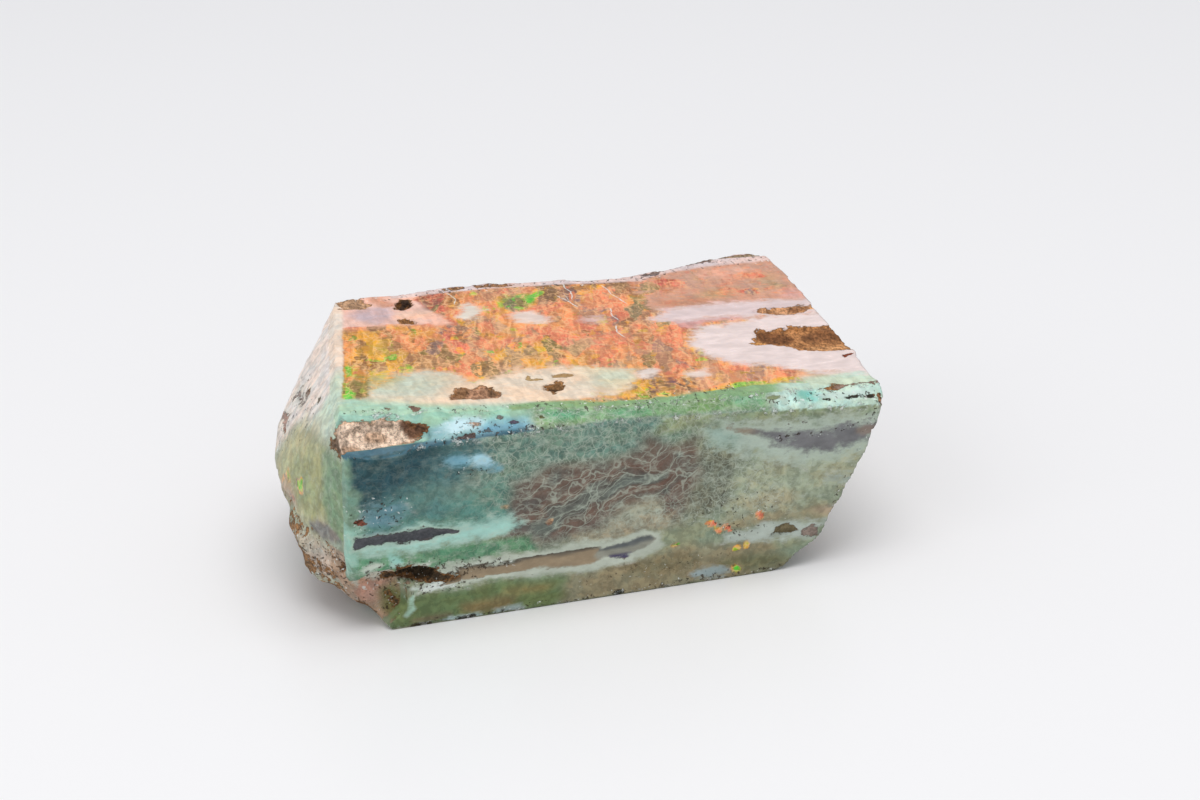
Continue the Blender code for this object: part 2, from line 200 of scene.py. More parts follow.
# (face, outline, softness, hue, strength): fire. Hue runs from 0, ember, over red, orange, gold and lime to
# 1, green. A strength of 1 is full fire of mixed hues, and one above 1 is a single flash of the stated hue.
FIRE = (
    ("top", [(-90, -70), (-90, 70), (95, 70), (95, -70)], 1.0, 0.38, 1.0),
    ("top", [(-90, 16), (-66, 14), (-46, 12), (-44, -4), (-46, -22), (-62, -22),
             (-90, -40)], 3.0, 0.54, 1.0),
    ("top", oval(-55, 8.0, 3.0, 6.0, 15), 1.0, 0.60, 1.8),
    ("top", oval(-56.5, -4.0, 2.0, 5.5, 5), 0.8, 0.61, 1.7),
    ("top", oval(-60.5, 9, 1.6, 3.0), 0.8, 0.58, 1.4),
    ("top", oval(-62, -6, 2.6, 7.0, -12), 1.0, 0.60, 1.25),
    ("top", oval(-46, -1, 3.4, 6.0, -10), 1.2, 0.38, 1.4),
    ("top", oval(-40, 3, 1.8, 4.0, -10), 0.8, 0.36, 1.3),
    ("top", oval(-47, 10, 3.0, 2.6), 1.0, 0.26, 1.3),
    ("top", oval(-26, 13, 2.2, 4, -20), 1.0, 0.62, 1.5),
    ("top", oval(-22, 30, 4, 6, -20), 2.0, 0.60, 1.1),
    ("top", oval(-10, 20, 2.0, 5, -20), 1.0, 0.60, 1.3),
    ("top", oval(-32, -2, 2.4, 7, -8), 0.8, 0.14, 1.7),
    ("top", oval(-30.5, 4.5, 2.2, 3, -8), 0.8, 0.20, 1.3),
    ("top", oval(-31, 28, 5.0, 9, -20), 2.0, 0.10, 0.62),
    ("top", oval(-28, 25, 1.6, 4, -20), 1.0, 0.04, 1.3),
    ("top", oval(-34, 31, 1.4, 3, -20), 1.0, 0.10, 1.3),
    ("top", oval(-17, -5, 2.4, 6, -14), 1.0, 0.16, 1.3),
    ("top", oval(-8, 2, 4.0, 6, -14), 1.4, 0.18, 1.3),
    ("top", oval(-2, -8, 2.0, 5, -14), 1.0, 0.22, 1.3),
    ("top", oval(6, 18, 6.0, 5, -14), 2.0, 0.26, 1.3),
    ("top", oval(-18, -9, 1.2, 3, -14), 0.6, 0.90, 1.2),
    ("top", oval(18, -8, 16, 20), 5.0, 0.27, 0.72),
    ("top", oval(12, 12, 12, 10), 4.0, 0.28, 0.9),
    ("top", [(46, 0), (62, 0), (62, 4.5), (38, 4.5), (37, -3), (42, -4)], 1.0, 0.08, 0.16),
    ("top", [(34, -30), (50, -37), (62, -43), (50, -46), (30, -47), (32, -38)], 2.0, 0.26, 0.85),
    ("top", oval(-14, -14, 12, 9), 4.0, 0.55, 1.0),
    ("top", oval(-3, 26, 6.0, 6, -20), 1.6, 0.88, 0.74),
    ("top", oval(8, 29, 3.5, 4.5), 1.6, 0.30, 0.50),
    ("top", oval(18, 34.5, 17, 4), 2.0, 0.36, 0.55),
    ("top", oval(2.4, 29.5, 1.5, 4.5, -20), 0.7, 1.0, 1.9),
    ("top", oval(-3.5, 21.5, 2.4, 1.8, -20), 0.7, 0.98, 1.5),
    ("top", oval(-9.5, 25, 1.2, 2.6, -20), 0.6, 0.84, 1.8),
    ("top", oval(-5, 34, 4.5, 2.5), 1.0, 0.12, 1.4),
    ("top", oval(23, 33.5, 3.5, 2.5), 1.5, 0.70, 1.0),
    ("top", oval(-57, -13, 2.0, 2.0), 0.8, 0.78, 1.1),
    ("top", oval(-66, -15, 1.2, 3.0, -14), 0.6, 0.90, 1.6),
    ("top", oval(-69.5, -30, 1.0, 2.6, -14), 0.5, 0.97, 1.6),
    ("top", oval(-66.5, -29, 1.2, 2.0, -14), 0.6, 0.72, 1.2),
    ("top", oval(-64, -24, 3.0, 5.0, -14), 1.2, 0.70, 0.8),
    ("top", oval(17, -42, 10, 6), 2.5, 0.56, 0.56),
    ("top", PLUM_SPOT, 1.6, 0.4, 0.45),
    ("top", PLUM_DOT, 1.4, 0.4, 0.45),
    ("top", oval(12, -45, 2.4, 2.4), 1.0, 0.9, 0.4),
    ("top", oval(15, -39, 1.6, 3.5, -14), 0.8, 0.62, 1.4),
    ("top", oval(24, -41, 1.6, 3.0, -14), 0.8, 0.50, 1.3),
    ("top", [(8, -47), (18, -46), (30, -45.5), (42, -44), (56, -43), (56, -46), (30, -48),
             (8, -49)], 0.6, 0.55, 1.1),
    ("top", oval(9, -47.5, 1.4, 1.4), 0.5, 0.94, 1.5),
    ("top", oval(17, -46.8, 2.0, 1.2), 0.5, 0.90, 1.4),
    ("top", oval(42, -45.0, 5.0, 1.0, 6), 0.5, 0.92, 1.5),
    ("top", oval(54, -43.6, 2.6, 0.8), 0.5, 0.66, 1.8),
    ("top", oval(11, -43, 2.0, 3.0), 0.8, 0.62, 1.3),
    ("top", oval(26, -43.5, 3.0, 1.6), 0.8, 0.50, 1.3),
    ("top", [(33, 12), (35, 36), (40, 45), (95, 60), (95, 12)], 2.5, 0.22, 0.26),
    ("top", oval(56, 30, 11, 5, 8), 3.0, 0.16, 0.45),
    ("top", oval(41, 31, 7, 5), 2.5, 0.14, 0.7),
    ("top", oval(46, 32.5, 2.6, 2.4), 1.0, 0.12, 1.3),
    ("top", oval(62, 23, 6, 3, 8), 2.0, 0.30, 0.55),
    ("top", oval(71, 21.5, 2.6, 2.2), 0.9, 0.12, 1.15),
    ("top", oval(74, 34.5, 5.0, 2.6, 8), 1.6, 0.16, 0.75),
    ("top", oval(80, 24, 4.0, 4.0), 2.0, 0.18, 0.55),
    ("top", PINK_CORNER, 1.6, 0.2, 0.10),
    ("top", oval(-44, 33, 2.6, 5, -15), 1.0, 0.2, 0.35),
    ("top", BACK_STRIP, 0.8, 0.2, 0.0),
    ("top", [(-68, -38), (-62, -26), (-54, -20), (-45, -18.5), (-39, -22), (-35, -30), (-28, -27),
             (-19, -23.5), (-6, -23), (5, -26), (11, -30), (12, -35), (9, -40), (2, -44), (-8, -46),
             (-24, -52), (-45, -50), (-62, -46)], 2.4, 0.6, 0.0),
    ("top", oval(-60, -23, 7, 4), 4.0, 0.6, 0.40),
    ("top", [(-90, -30), (-73, -33), (-62, -37), (-45, -43), (-28, -46), (-14, -50), (-14, -62),
             (-95, -62)], 1.5, 0.9, 0.0),
    ("top", [(-30, -47.5), (-15, -48), (5, -48.5), (20, -48.5), (33, -47.5), (45, -46), (68, -46),
             (68, -62), (-30, -62)], 0.8, 0.9, 0.0),
    ("top", [(56, -44), (60, -40), (72, -40), (84, -36), (90, -62), (54, -62)], 1.5, 0.8, 0.0),
    ("rim", [(-66.2, -12), (-68.4, -20), (-66.2, -19), (-64.8, -13)], 0.5, 0.94, 1.5),
    ("rim", [(-70, -25), (-72.4, -33), (-70.6, -34), (-69, -27)], 0.4, 1.0, 1.6),
    ("rim", LEFT_ARRIS, 0.4, 0.5, 0.0),
    ("front", oval(27.4, 18.0, 1.2, 1.2), 0.4, 0.15, 2.0),
    ("front", oval(27.8, 15.2, 1.2, 1.0), 0.4, 0.13, 2.0),
    ("front", oval(32.0, 15.8, 1.1, 1.1), 0.4, 0.17, 2.0),
    ("front", oval(42, 17.8, 1.2, 1.2), 0.3, 0.11, 2.0),
    ("front", oval(37.6, 9.2, 1.4, 1.2), 0.3, 0.76, 2.0),
    ("front", oval(33.5, 8.2, 1.6, 0.8), 0.3, 0.68, 1.6),
    ("front", oval(34.5, 2.2, 1.5, 1.1), 0.6, 1.0, 1.3),
    ("front", oval(16.2, 13.0, 1.3, 1.0), 0.5, 1.0, 1.2),
    ("front", oval(-19, 25.5, 1.2, 0.9), 0.4, 0.30, 1.2),
    ("front", oval(-34, 32.5, 1.8, 0.6), 0.6, 0.34, 0.6),
    ("left", oval(-27.6, 33.8, 1.5, 2.0), 0.4, 0.98, 2.0),
    ("left", oval(-17.5, 33.2, 2.6, 1.6), 1.0, 0.95, 1.1),
    ("left", oval(-23, 29, 2.0, 0.8), 0.6, 0.30, 1.0),
    ("left", oval(-14, 32, 1.0, 1.6), 0.6, 0.30, 0.9),
)

# (face, outline, softness, colour): milky lenses with a clear edge, and two painted highlights in mint
MILK_AND_HIGHLIGHTS = (
    ("top", oval(-19.5, 21, 3.2, 6.2, -25), 1.2, (0.88, 0.84, 0.78)),
    ("top", oval(-3.6, 13, 5.6, 4.8, 0), 1.2, (0.90, 0.82, 0.77)),
    ("top", oval(14, 8, 3.0, 2.4, 0), 1.4, (0.84, 0.70, 0.66)),
    ("top", [(32, 6), (36, 12.5), (50, 14.5), (90, 13), (90, 1), (60, 2.5), (47, 3.5), (38, 1.5),
             (33, 3)], 1.5, (0.88, 0.80, 0.79)),
    ("top", [(39, -6), (44, -3), (52, -2.5), (62, 1), (90, 2), (90, -46), (74, -44), (60, -39), (50, -33),
             (42, -30), (37, -24), (36, -15)], 1.5, (0.91, 0.84, 0.82)),
    ("top", oval(15, -33, 3.2, 2.6), 1.2, (0.90, 0.84, 0.80)),
    ("top", oval(32, -36, 3.6, 2.6), 1.2, (0.90, 0.82, 0.77)),
    ("front", [(24, 46), (32, 47), (50, 45.5), (84, 43.5), (84, 36), (72, 34), (60, 33), (48, 35),
               (38, 39.5), (30, 42)], 1.8, (0.68, 0.75, 0.70)),
    ("front", oval(29, 43.6, 4, 2.2, -20), 1.6, (0.63, 0.73, 0.68)),
    ("front", oval(71, 25.5, 8, 1.3, -3), 1.4, (0.64, 0.69, 0.65)),
    ("front", [(-84, 29.5), (-60, 30), (-45, 29.5), (-32, 29.5), (-27, 27), (-32, 24.5), (-45, 23.8),
               (-60, 23.8), (-84, 23)], 1.2, (0.67, 0.85, 0.80)),
    ("front", [(-56, 17), (-40, 17.4), (-25, 18), (-8, 18.5), (8, 19), (12, 17.5), (12.5, 14), (7, 11),
               (-4, 10.2), (-25, 10.2), (-40, 10.8), (-58, 10.8)], 0.7, (0.76, 0.79, 0.73)),
    ("front", [(30, 13.5), (40, 14.3), (52, 14.3), (62, 14), (60, 9), (45, 9.8), (34, 10.3),
               (29, 11.5)], 0.8, (0.72, 0.76, 0.72)),
    ("front", oval(-49.5, 46.8, 3.8, 1.6, -20), 0.9, (0.48, 0.69, 0.76)),
    ("front", oval(-40, 43.8, 4.2, 1.2, -16), 0.8, (0.48, 0.69, 0.75)),
    ("front", oval(-43, 46.4, 2.8, 1.7, -10), 0.5, (0.70, 0.87, 0.92)),
    ("front", oval(-70, 34, 5, 2.2, 10), 2.0, (0.40, 0.57, 0.62)),
    ("front", oval(-47, 0.6, 6, 1.2), 0.6, (0.70, 0.78, 0.78)),
    ("front", oval(-35, 0.8, 5, 1.4), 0.6, (0.62, 0.68, 0.66)),
    ("front", oval(26, 1.8, 6, 1.7), 0.8, (0.62, 0.68, 0.68)),
    ("front", oval(-56.5, 12.2, 4.5, 1.0, -8), 0.5, (0.78, 0.82, 0.78)),
    # Mint strip at the front-left arris: painted highlight on the edge
    ("front", [(-82, 20), (-82, 32), (-76.5, 31), (-75.2, 26), (-74.6, 20.5)], 0.8, (0.60, 0.77, 0.70)),
    ("front", [(-62.2, 4), (-61, 10), (-59.5, 11), (-60.6, 5)], 0.5, (0.66, 0.79, 0.71)),
    ("front", oval(-60, 18.6, 4.5, 0.7, 4), 0.3, (0.86, 0.88, 0.84)),
    ("front", oval(-54, 11.6, 5, 0.9, 10), 0.3, (0.86, 0.89, 0.86)),
    ("front", oval(-70, 20, 4, 1.0, 12), 0.4, (0.80, 0.84, 0.78)),
    ("break", oval(-72, 17.5, 5, 1.4, -14), 0.5, (0.86, 0.86, 0.80)),
    ("break", oval(-77, 17, 1.4, 4.0, 20), 0.5, (0.82, 0.82, 0.76)),
    # Mint patch on a small vertical fold: painted highlight on the fold
    ("front", [(-64.5, 19), (-66, 22.5), (-64.6, 24), (-63.2, 22),
               (-62.4, 18.6)], 0.4, (0.62, 0.82, 0.76)),
    ("shoulder", oval(-46, 6, 6, 2.5, 5), 1.0, (0.76, 0.88, 0.90)),
    ("shoulder", oval(68, 7, 8, 2), 1.0, (0.80, 0.88, 0.84)),
)

# (face, outline, softness, colour, sink in millimetres): host rock, dull seams and one hollow darkened with
# painted shadow. Rock that sinks by 0.2 or more is fully gritty and ragged, and a seam with no sink is
# smooth.
ROCK_AND_SHADE = (
    ("rim", [(53.8, -17.6), (55, -15), (57.6, -11.4), (59, -7.6), (60.8, -5.8), (63, -7.6), (68.8, -7.6),
             (70, -5), (71.6, -8), (88, -8), (88, -26), (75.6, -26.8), (66, -24.6), (63.4, -20.4),
             (60.6, -18.6), (55.6, -19)], 0.4, (0.66, 0.46, 0.29), 0.2),
    ("rim", oval(63, -12, 5.0, 3.0, -10), 0.8, (0.46, 0.30, 0.18), 0.2),
    ("rim", oval(56, -17.6, 2.0, 1.2), 0.4, (0.84, 0.60, 0.35), 0.2),
    ("top", oval(76, -23, 7, 1.8, -8), 0.8, (0.78, 0.57, 0.38), 0.2),
    ("top", oval(79, -13, 6, 2.6), 0.8, (0.52, 0.35, 0.22), 0.2),
    ("rim", [(65, 7.2), (68, 8.2), (72.5, 8.6), (77.5, 8.2), (88, 8.4), (88, 4.6), (77.5, 5), (75.4, 2),
             (72.5, 2.2), (69.4, 3), (66, 5.6)], 0.5, (0.80, 0.60, 0.44), 0.2),
    ("rim", oval(79, 6.6, 3.0, 0.9), 0.4, (0.60, 0.42, 0.29), 0.2),
    ("rim", oval(69.5, 5.6, 1.6, 0.8), 0.4, (0.66, 0.47, 0.32), 0.2),
    ("rim", [(-44.5, -39.8), (-43, -36.5), (-41, -33.8), (-38, -32), (-35.6, -33.2), (-33, -32.4),
             (-30, -34.2), (-29.2, -37), (-29.6, -39.6), (-35, -40.2)], 0.35, (0.67, 0.51, 0.40), 0.2),
    ("rim", oval(-40, -35, 3.0, 1.0, 40), 0.4, (0.50, 0.37, 0.26), 0.2),
    ("rim", oval(-31, -35.5, 1.0, 2.0), 0.4, (0.44, 0.33, 0.24), 0.2),
    ("rim", [(-17, -37.4), (-16.2, -35.4), (-13.8, -34.4), (-11.4, -33.4), (-10, -34.2), (-10.3, -36.6),
             (-12, -38), (-13.8, -39), (-14.8, -41.4), (-15.6, -40.6),
             (-15.4, -38.8)], 0.35, (0.50, 0.37, 0.24), 0.2),
    ("rim", oval(-14, -37.5, 2.2, 1.2), 0.35, (0.34, 0.24, 0.16), 0.2),
    ("top", oval(-9, -29, 3.4, 1.1), 0.4, (0.66, 0.53, 0.36), 0.04),
    ("top", oval(-18.5, -30.5, 3.0, 0.8), 0.3, (0.70, 0.58, 0.40), 0.04),
    ("top", oval(-20.8, -29.3, 0.8, 1.8), 0.3, (0.70, 0.58, 0.40), 0.04),
    ("top", oval(-56, -43.0, 1.0, 1.5, -20), 0.3, (0.50, 0.40, 0.34), 0.1),
    ("top", oval(-62.5, -42.5, 1.4, 0.8), 0.3, (0.58, 0.50, 0.42), 0.1),
    ("top", oval(77.5, -30.5, 0.8, 1.8, -20), 0.3, (0.50, 0.25, 0.16), 0.1),
    ("top", oval(-39, 30, 2.2, 4.8, -27), 0.4, (0.24, 0.18, 0.14), 0.3),
    ("top", oval(-41.5, 16.4, 2.4, 1.7, -20), 0.4, (0.48, 0.33, 0.20), 0.3),
    ("top", [(-57, 30), (-53, 28.5), (-50, 32), (-47.5, 40), (-56, 40)], 0.5, (0.68, 0.54, 0.42), 0.3),
    ("top", oval(-21, 39.6, 5.0, 0.9), 0.4, (0.62, 0.48, 0.36), 0.2),
    ("top", oval(-8, 39.4, 5.5, 1.5), 0.4, (0.56, 0.42, 0.32), 0.2),
    ("top", oval(22, 40.6, 6.0, 0.7), 0.4, (0.66, 0.56, 0.48), 0.1),
    ("top", oval(45, 41.0, 2.6, 1.4), 0.4, (0.45, 0.40, 0.40), 0.1),
    ("top", oval(60, 46.6, 17, 0.8, 16), 0.4, (0.50, 0.42, 0.38), 0.1),
    ("top", oval(78, 51.0, 8, 1.4, 6), 0.4, (0.62, 0.54, 0.44), 0.2),
    ("top", oval(65, -50.3, 4.5, 0.8), 0.3, (0.52, 0.38, 0.24), 0.2),
    ("top", oval(72, -50.3, 7, 0.5), 0.3, (0.58, 0.48, 0.42), 0.1),
    ("front", [(31, 46.6), (38, 45.4), (44, 44), (50, 42), (50, 40.5), (44, 42),
               (36, 44)], 0.9, (0.60, 0.56, 0.49), 0.0),
    ("front", [(42, 43.2), (50, 43.0), (62, 42.8), (74, 42.0), (80, 40.6), (80, 37.5), (68, 36.2),
               (60, 35.6), (52, 37.2), (46, 40.4)], 2.0, (0.475, 0.475, 0.48), 0.0),
    ("front", oval(73, 39.4, 2.8, 1.1), 0.6, (0.55, 0.50, 0.46), 0.0),
    ("front", [(-76, 29.0), (-60, 28.9), (-50, 28.6), (-46.6, 27.8), (-47.5, 26.8), (-60, 25.8),
               (-76, 25.0)], 0.4, (0.34, 0.345, 0.36), 0.08),
    ("front", [(-53, 12.2), (-48, 15.2), (-38, 15.3), (-28, 15.7), (-15, 16.0), (-6, 16.2), (-4, 12.8),
               (-8, 12.2), (-25, 12.2), (-42, 12)], 0.5, (0.63, 0.56, 0.46), 0.0),
    ("front", [(-54, 15.5), (-44, 15.9), (-28, 16.1), (-15, 16.4), (-6, 16.8), (-6, 16.1), (-15, 15.7),
               (-28, 15.4), (-44, 15.2)], 0.22, (0.38, 0.36, 0.32), 0.0),
    ("front", [(-6, 13.4), (-5, 16.6), (2, 17.2), (9, 17.0), (10.5, 15.8), (5, 13.6),
               (-2, 12.9)], 0.5, (0.60, 0.60, 0.55), 0.0),
    ("front", [(-6, 16.4), (2, 17.0), (10, 17.0), (9, 16.3), (2, 16.2),
               (-6, 15.6)], 0.25, (0.40, 0.42, 0.42), 0.0),
    ("front", oval(1, 12.9, 3.2, 0.7), 0.25, (0.34, 0.32, 0.42), 0.0),
    ("front", oval(-46, 0.8, 3.0, 0.7, 6), 0.35, (0.28, 0.28, 0.25), 0.1),
    ("front", oval(-59, 0.7, 2.4, 0.8, 6), 0.35, (0.34, 0.32, 0.24), 0.1),
    ("front", oval(-1, 0.8, 2.2, 0.6, 6), 0.35, (0.26, 0.26, 0.22), 0.1),
    # Dark hollow: host rock, its near-black colour partly painted shadow in the hollow
    ("front", [(-67, 16.4), (-63.5, 19.2), (-58, 18.8), (-53, 16.4), (-49, 13.6), (-52, 12.9),
               (-57, 13.4), (-63, 14.6)], 0.5, (0.27, 0.22, 0.16), 0.2),
    ("front", oval(48.4, 11.9, 4.4, 1.5), 0.5, (0.44, 0.40, 0.30), 0.1),
    ("front", [(54, 12), (58, 13), (62, 12.6), (61, 10.4), (58, 9.4),
               (55, 10.2)], 0.6, (0.56, 0.50, 0.46), 0.08),
    ("front", oval(-76, 33.3, 1.5, 0.9), 0.3, (0.50, 0.30, 0.24), 0.1),
    ("shoulder", [(-84, 4), (-79, 9), (-75, 10.5), (-68, 9.5), (-62, 10.5), (-58, 10), (-57, 6),
                  (-60, 4.4), (-65, 4.2), (-69, 2.2), (-74, 1.6), (-79, 1.6),
                  (-84, 1.6)], 0.5, (0.87, 0.77, 0.68), 0.2),
    ("shoulder", [(-60, 9.6), (-55, 9.4), (-53, 7.4), (-55, 6),
                  (-60, 6.4)], 0.4, (0.48, 0.35, 0.27), 0.2),
    ("shoulder", oval(-68, 6.4, 2.6, 0.7), 0.3, (0.72, 0.60, 0.50), 0.2),
    ("shoulder", oval(-75, 3.6, 2.6, 0.6), 0.3, (0.72, 0.60, 0.50), 0.2),
    ("break", oval(-73, 21, 2.0, 1.4, -30), 0.4, (0.30, 0.25, 0.22), 0.2),
    ("break", oval(-79, 19, 1.4, 2.4, 20), 0.5, (0.38, 0.31, 0.26), 0.2),
    ("break", oval(-69, 16.4, 2.6, 0.8, -20), 0.4, (0.30, 0.25, 0.20), 0.2),
    ("break", oval(-65.5, 9, 0.8, 3.4, 24), 0.4, (0.34, 0.30, 0.22), 0.2),
    ("break", oval(-73, 6, 0.8, 3.0, 34), 0.4, (0.38, 0.30, 0.24), 0.2),
    ("shoulder", oval(-81, 2.0, 2.0, 1.4), 0.3, (0.46, 0.36, 0.29), 0.2),
    ("shoulder", oval(-42, 6, 0.9, 1.6, 20), 0.5, (0.78, 0.64, 0.54), 0.1),
    ("shoulder", oval(-33, 7.4, 1.0, 0.9), 0.4, (0.46, 0.46, 0.44), 0.1),
    ("shoulder", oval(-31, 4.6, 1.6, 0.9, 30), 0.4, (0.32, 0.30, 0.36), 0.1),
    ("shoulder", oval(-46, 1.4, 2.8, 0.9), 0.4, (0.36, 0.31, 0.30), 0.1),
    ("shoulder", oval(-26, 1.6, 1.6, 0.8), 0.4, (0.30, 0.32, 0.40), 0.1),
    ("shoulder", oval(-21, 6.4, 1.2, 0.8, -30), 0.4, (0.42, 0.42, 0.26), 0.1),
    ("shoulder", oval(47, 9, 2.6, 1.6), 0.5, (0.52, 0.56, 0.42), 0.04),
    ("shoulder", oval(56.5, 5.1, 0.9, 0.9), 0.3, (0.20, 0.20, 0.17), 0.1),
    ("shoulder", oval(61.5, 4.9, 1.1, 1.0), 0.3, (0.20, 0.20, 0.17), 0.1),
    ("shoulder", oval(68, 5.6, 2.2, 0.9), 0.3, (0.20, 0.20, 0.17), 0.1),
    ("shoulder", oval(73.4, 4.9, 2.0, 0.9), 0.3, (0.20, 0.20, 0.17), 0.1),
    ("shoulder", oval(77.5, 3.5, 1.4, 4.0), 0.4, (0.52, 0.38, 0.30), 0.2),
    ("left", oval(-3, 52, 2.8, 0.8, -12), 0.5, (0.40, 0.36, 0.33), 0.2),
    ("left", oval(-16, 54, 1.6, 0.6), 0.4, (0.52, 0.48, 0.42), 0.1),
    ("left", oval(0, 41.2, 2.2, 0.8), 0.5, (0.48, 0.34, 0.30), 0.2),
    ("left", oval(2, 48.4, 8, 0.8, -14), 0.9, (0.62, 0.57, 0.54), 0.1),
    ("left", oval(6, 41, 6, 1.0, -18), 0.9, (0.70, 0.58, 0.53), 0.1),
    ("left", [(-43, 54), (-48, 56), (-51, 56.5), (-51, 51), (-46, 51),
              (-43, 52)], 0.6, (0.50, 0.42, 0.35), 0.2),
)

# (face, outline, softness, strength): net of pale veins
WEB = (
    ("front", [(-80, 18), (-80, 60), (80, 60), (80, 18)], 3.0, 0.30),
    ("front", [(-90, 30), (-90, 62), (-46, 62), (-46, 30)], 5.0, 0.12),
    ("front", [(-38, 20), (-38, 50), (24, 50), (34, 36), (30, 20)], 5.0, 0.75),
    ("front", [(-42, 39), (-42, 56), (24, 56), (20, 42), (-10, 42)], 3.0, 1.0),
    ("front", [(10, 22), (14, 46), (40, 40), (52, 20)], 5.0, 1.0),
    ("shoulder", [(-26, -5), (-26, 15), (50, 15), (50, -5)], 4.0, 0.8),
    ("left", [(-90, 20), (-90, 60), (40, 60), (40, 20)], 3.0, 0.2),
)

# (face, outline, softness, strength): dark and white crumbs in damaged places
CRUMBS = (
    ("shoulder", [(-52, -2), (-15, -2), (-15, 2.6), (-34, 4.0), (-52, 3.0)], 1.2, 0.85),
    ("shoulder", [(-82, -1), (-50, -1), (-50, 2.6), (-82, 2.4)], 0.8, 0.6),
    ("shoulder", oval(-42, 7, 9, 3), 2.0, 0.4),
    ("shoulder", [(-24, 8), (46, 8), (46, 14), (-24, 14)], 2.0, 0.3),
    ("shoulder", [(44, 3), (78, 3), (78, 7), (44, 11)], 1.5, 0.6),
    ("shoulder", [(74, -3), (84, -3), (84, 12), (74, 12)], 1.5, 0.8),
    ("front", [(-76, 14), (-72, 21), (-58, 21), (-48, 17.5), (-30, 17), (-30, 15.5), (-50, 13),
               (-60, 14)], 1.5, 0.75),
    ("front", [(-60, 14), (-52, 12.5), (-44, 12.5), (-44, 10.5), (-60, 10)], 1.0, 0.8),
    ("front", [(-84, -2), (-84, 1.6), (40, 1.4), (60, 5), (60, -2)], 0.8, 0.85),
    ("front", [(-78, 30), (-66, 32), (-60, 38), (-78, 40)], 2.5, 0.5),
    ("front", oval(-44, 43.6, 5, 2.0), 1.5, 0.5),
    ("front", oval(58, 42.0, 14, 0.8), 0.6, 0.7),
    ("front", oval(8, 7, 24, 4), 4.0, 0.15),
    ("front", oval(36, 20, 14, 9), 4.0, 0.2),
    ("front", [(64, 18), (90, 18), (90, 50), (76, 50)], 2.0, 0.5),
    ("break", BROKEN_CORNER, 1.0, 0.45),
    ("break", [(-90, 12), (-90, 26), (-50, 26), (-50, 14), (-70, 16)], 2.0, 0.9),
    ("left", [(60, 30), (-60, 22), (-60, -2), (60, -2)], 3.0, 0.6),
    ("left", oval(0, 44, 22, 9, -14), 5.0, 0.35),
    ("top", [(-76, -42), (-30, -46), (0, -47), (40, -44), (40, -52), (-76, -52)], 2.0, 0.4),
    ("top", [(-40, 35), (40, 35), (60, 42), (90, 46), (90, 66), (-60, 50), (-60, 36)], 1.5, 0.45),
)

# Fine scratches across the top, as lines in millimetres (x, y)
SCRATCHES = (
    [(25.6, 34.5), (26.4, 30.5), (26.0, 27.0), (27.2, 23.5), (28.0, 19.0)],
    [(14.4, 37.4), (13.8, 34.0), (14.6, 31.0), (14.0, 28.0), (13.0, 25.0)],
    [(-22.5, 36.0), (-21.5, 31.0), (-23.0, 27.5)],
    [(22.0, 16.0), (20.5, 11.0), (21.2, 7.0)],
    [(9.6, 28.0), (11.2, 24.0), (12.6, 19.0)],
    [(19.0, 3.0), (17.6, -2.0), (18.4, -6.0)],
)

# (face, outline, softness, strength): smoky heart with its flowing lines
FLOW = (
    ("front", [(-32, 38), (-20, 42), (-4, 42), (8, 47), (14, 42), (20, 44), (24, 36), (20, 29), (8, 29),
               (-2, 25), (-12, 21), (-24, 22), (-33, 30)], 2.5, 1.0),
)


# Settings ---------------------------------------------------------------------------------------------

def shown(red, green, blue):
    """A colour as it looks on a screen, turned into the linear values that Blender works with."""
    return tuple(((c + 0.055) / 1.055) ** 2.4 if c > 0.04045 else c / 12.92 for c in (red, green, blue))


def colour(label, note, red, green, blue):
    return bpy.props.FloatVectorProperty(
        name=label, description=note, subtype="COLOR", size=3, min=0, max=1, default=shown(red, green, blue)
    )


def length(label, note, default, low=0.0, high=1.0):
    return bpy.props.FloatProperty(
        name=label, description=note, default=default, min=low, max=high, unit="LENGTH", precision=5
    )


def number(label, note, default, low=0.0, high=1.0):
    return bpy.props.FloatProperty(name=label, description=note, default=default, min=low, max=high)


class OpalShape(bpy.types.PropertyGroup):
    """Sizes of the fine relief."""

    mesh_step: length("Mesh step", "Edge length of the fine skin", 0.85 * MM, 0.5 * MM, 4 * MM)
    skin_relief: length("Broken skin", "Depth of the small relief on the broken sides", 0.55 * MM)
    hollow_relief: length("Hollows", "Depth of the crumbly relief in the host rock", 0.40 * MM)
    chip_depth: length("Chips", "Depth of the chips along the ground edges", 0.55 * MM)
    worn_relief: length("Worn end", "Depth of the growth lines on the worn left end", 0.10 * MM)


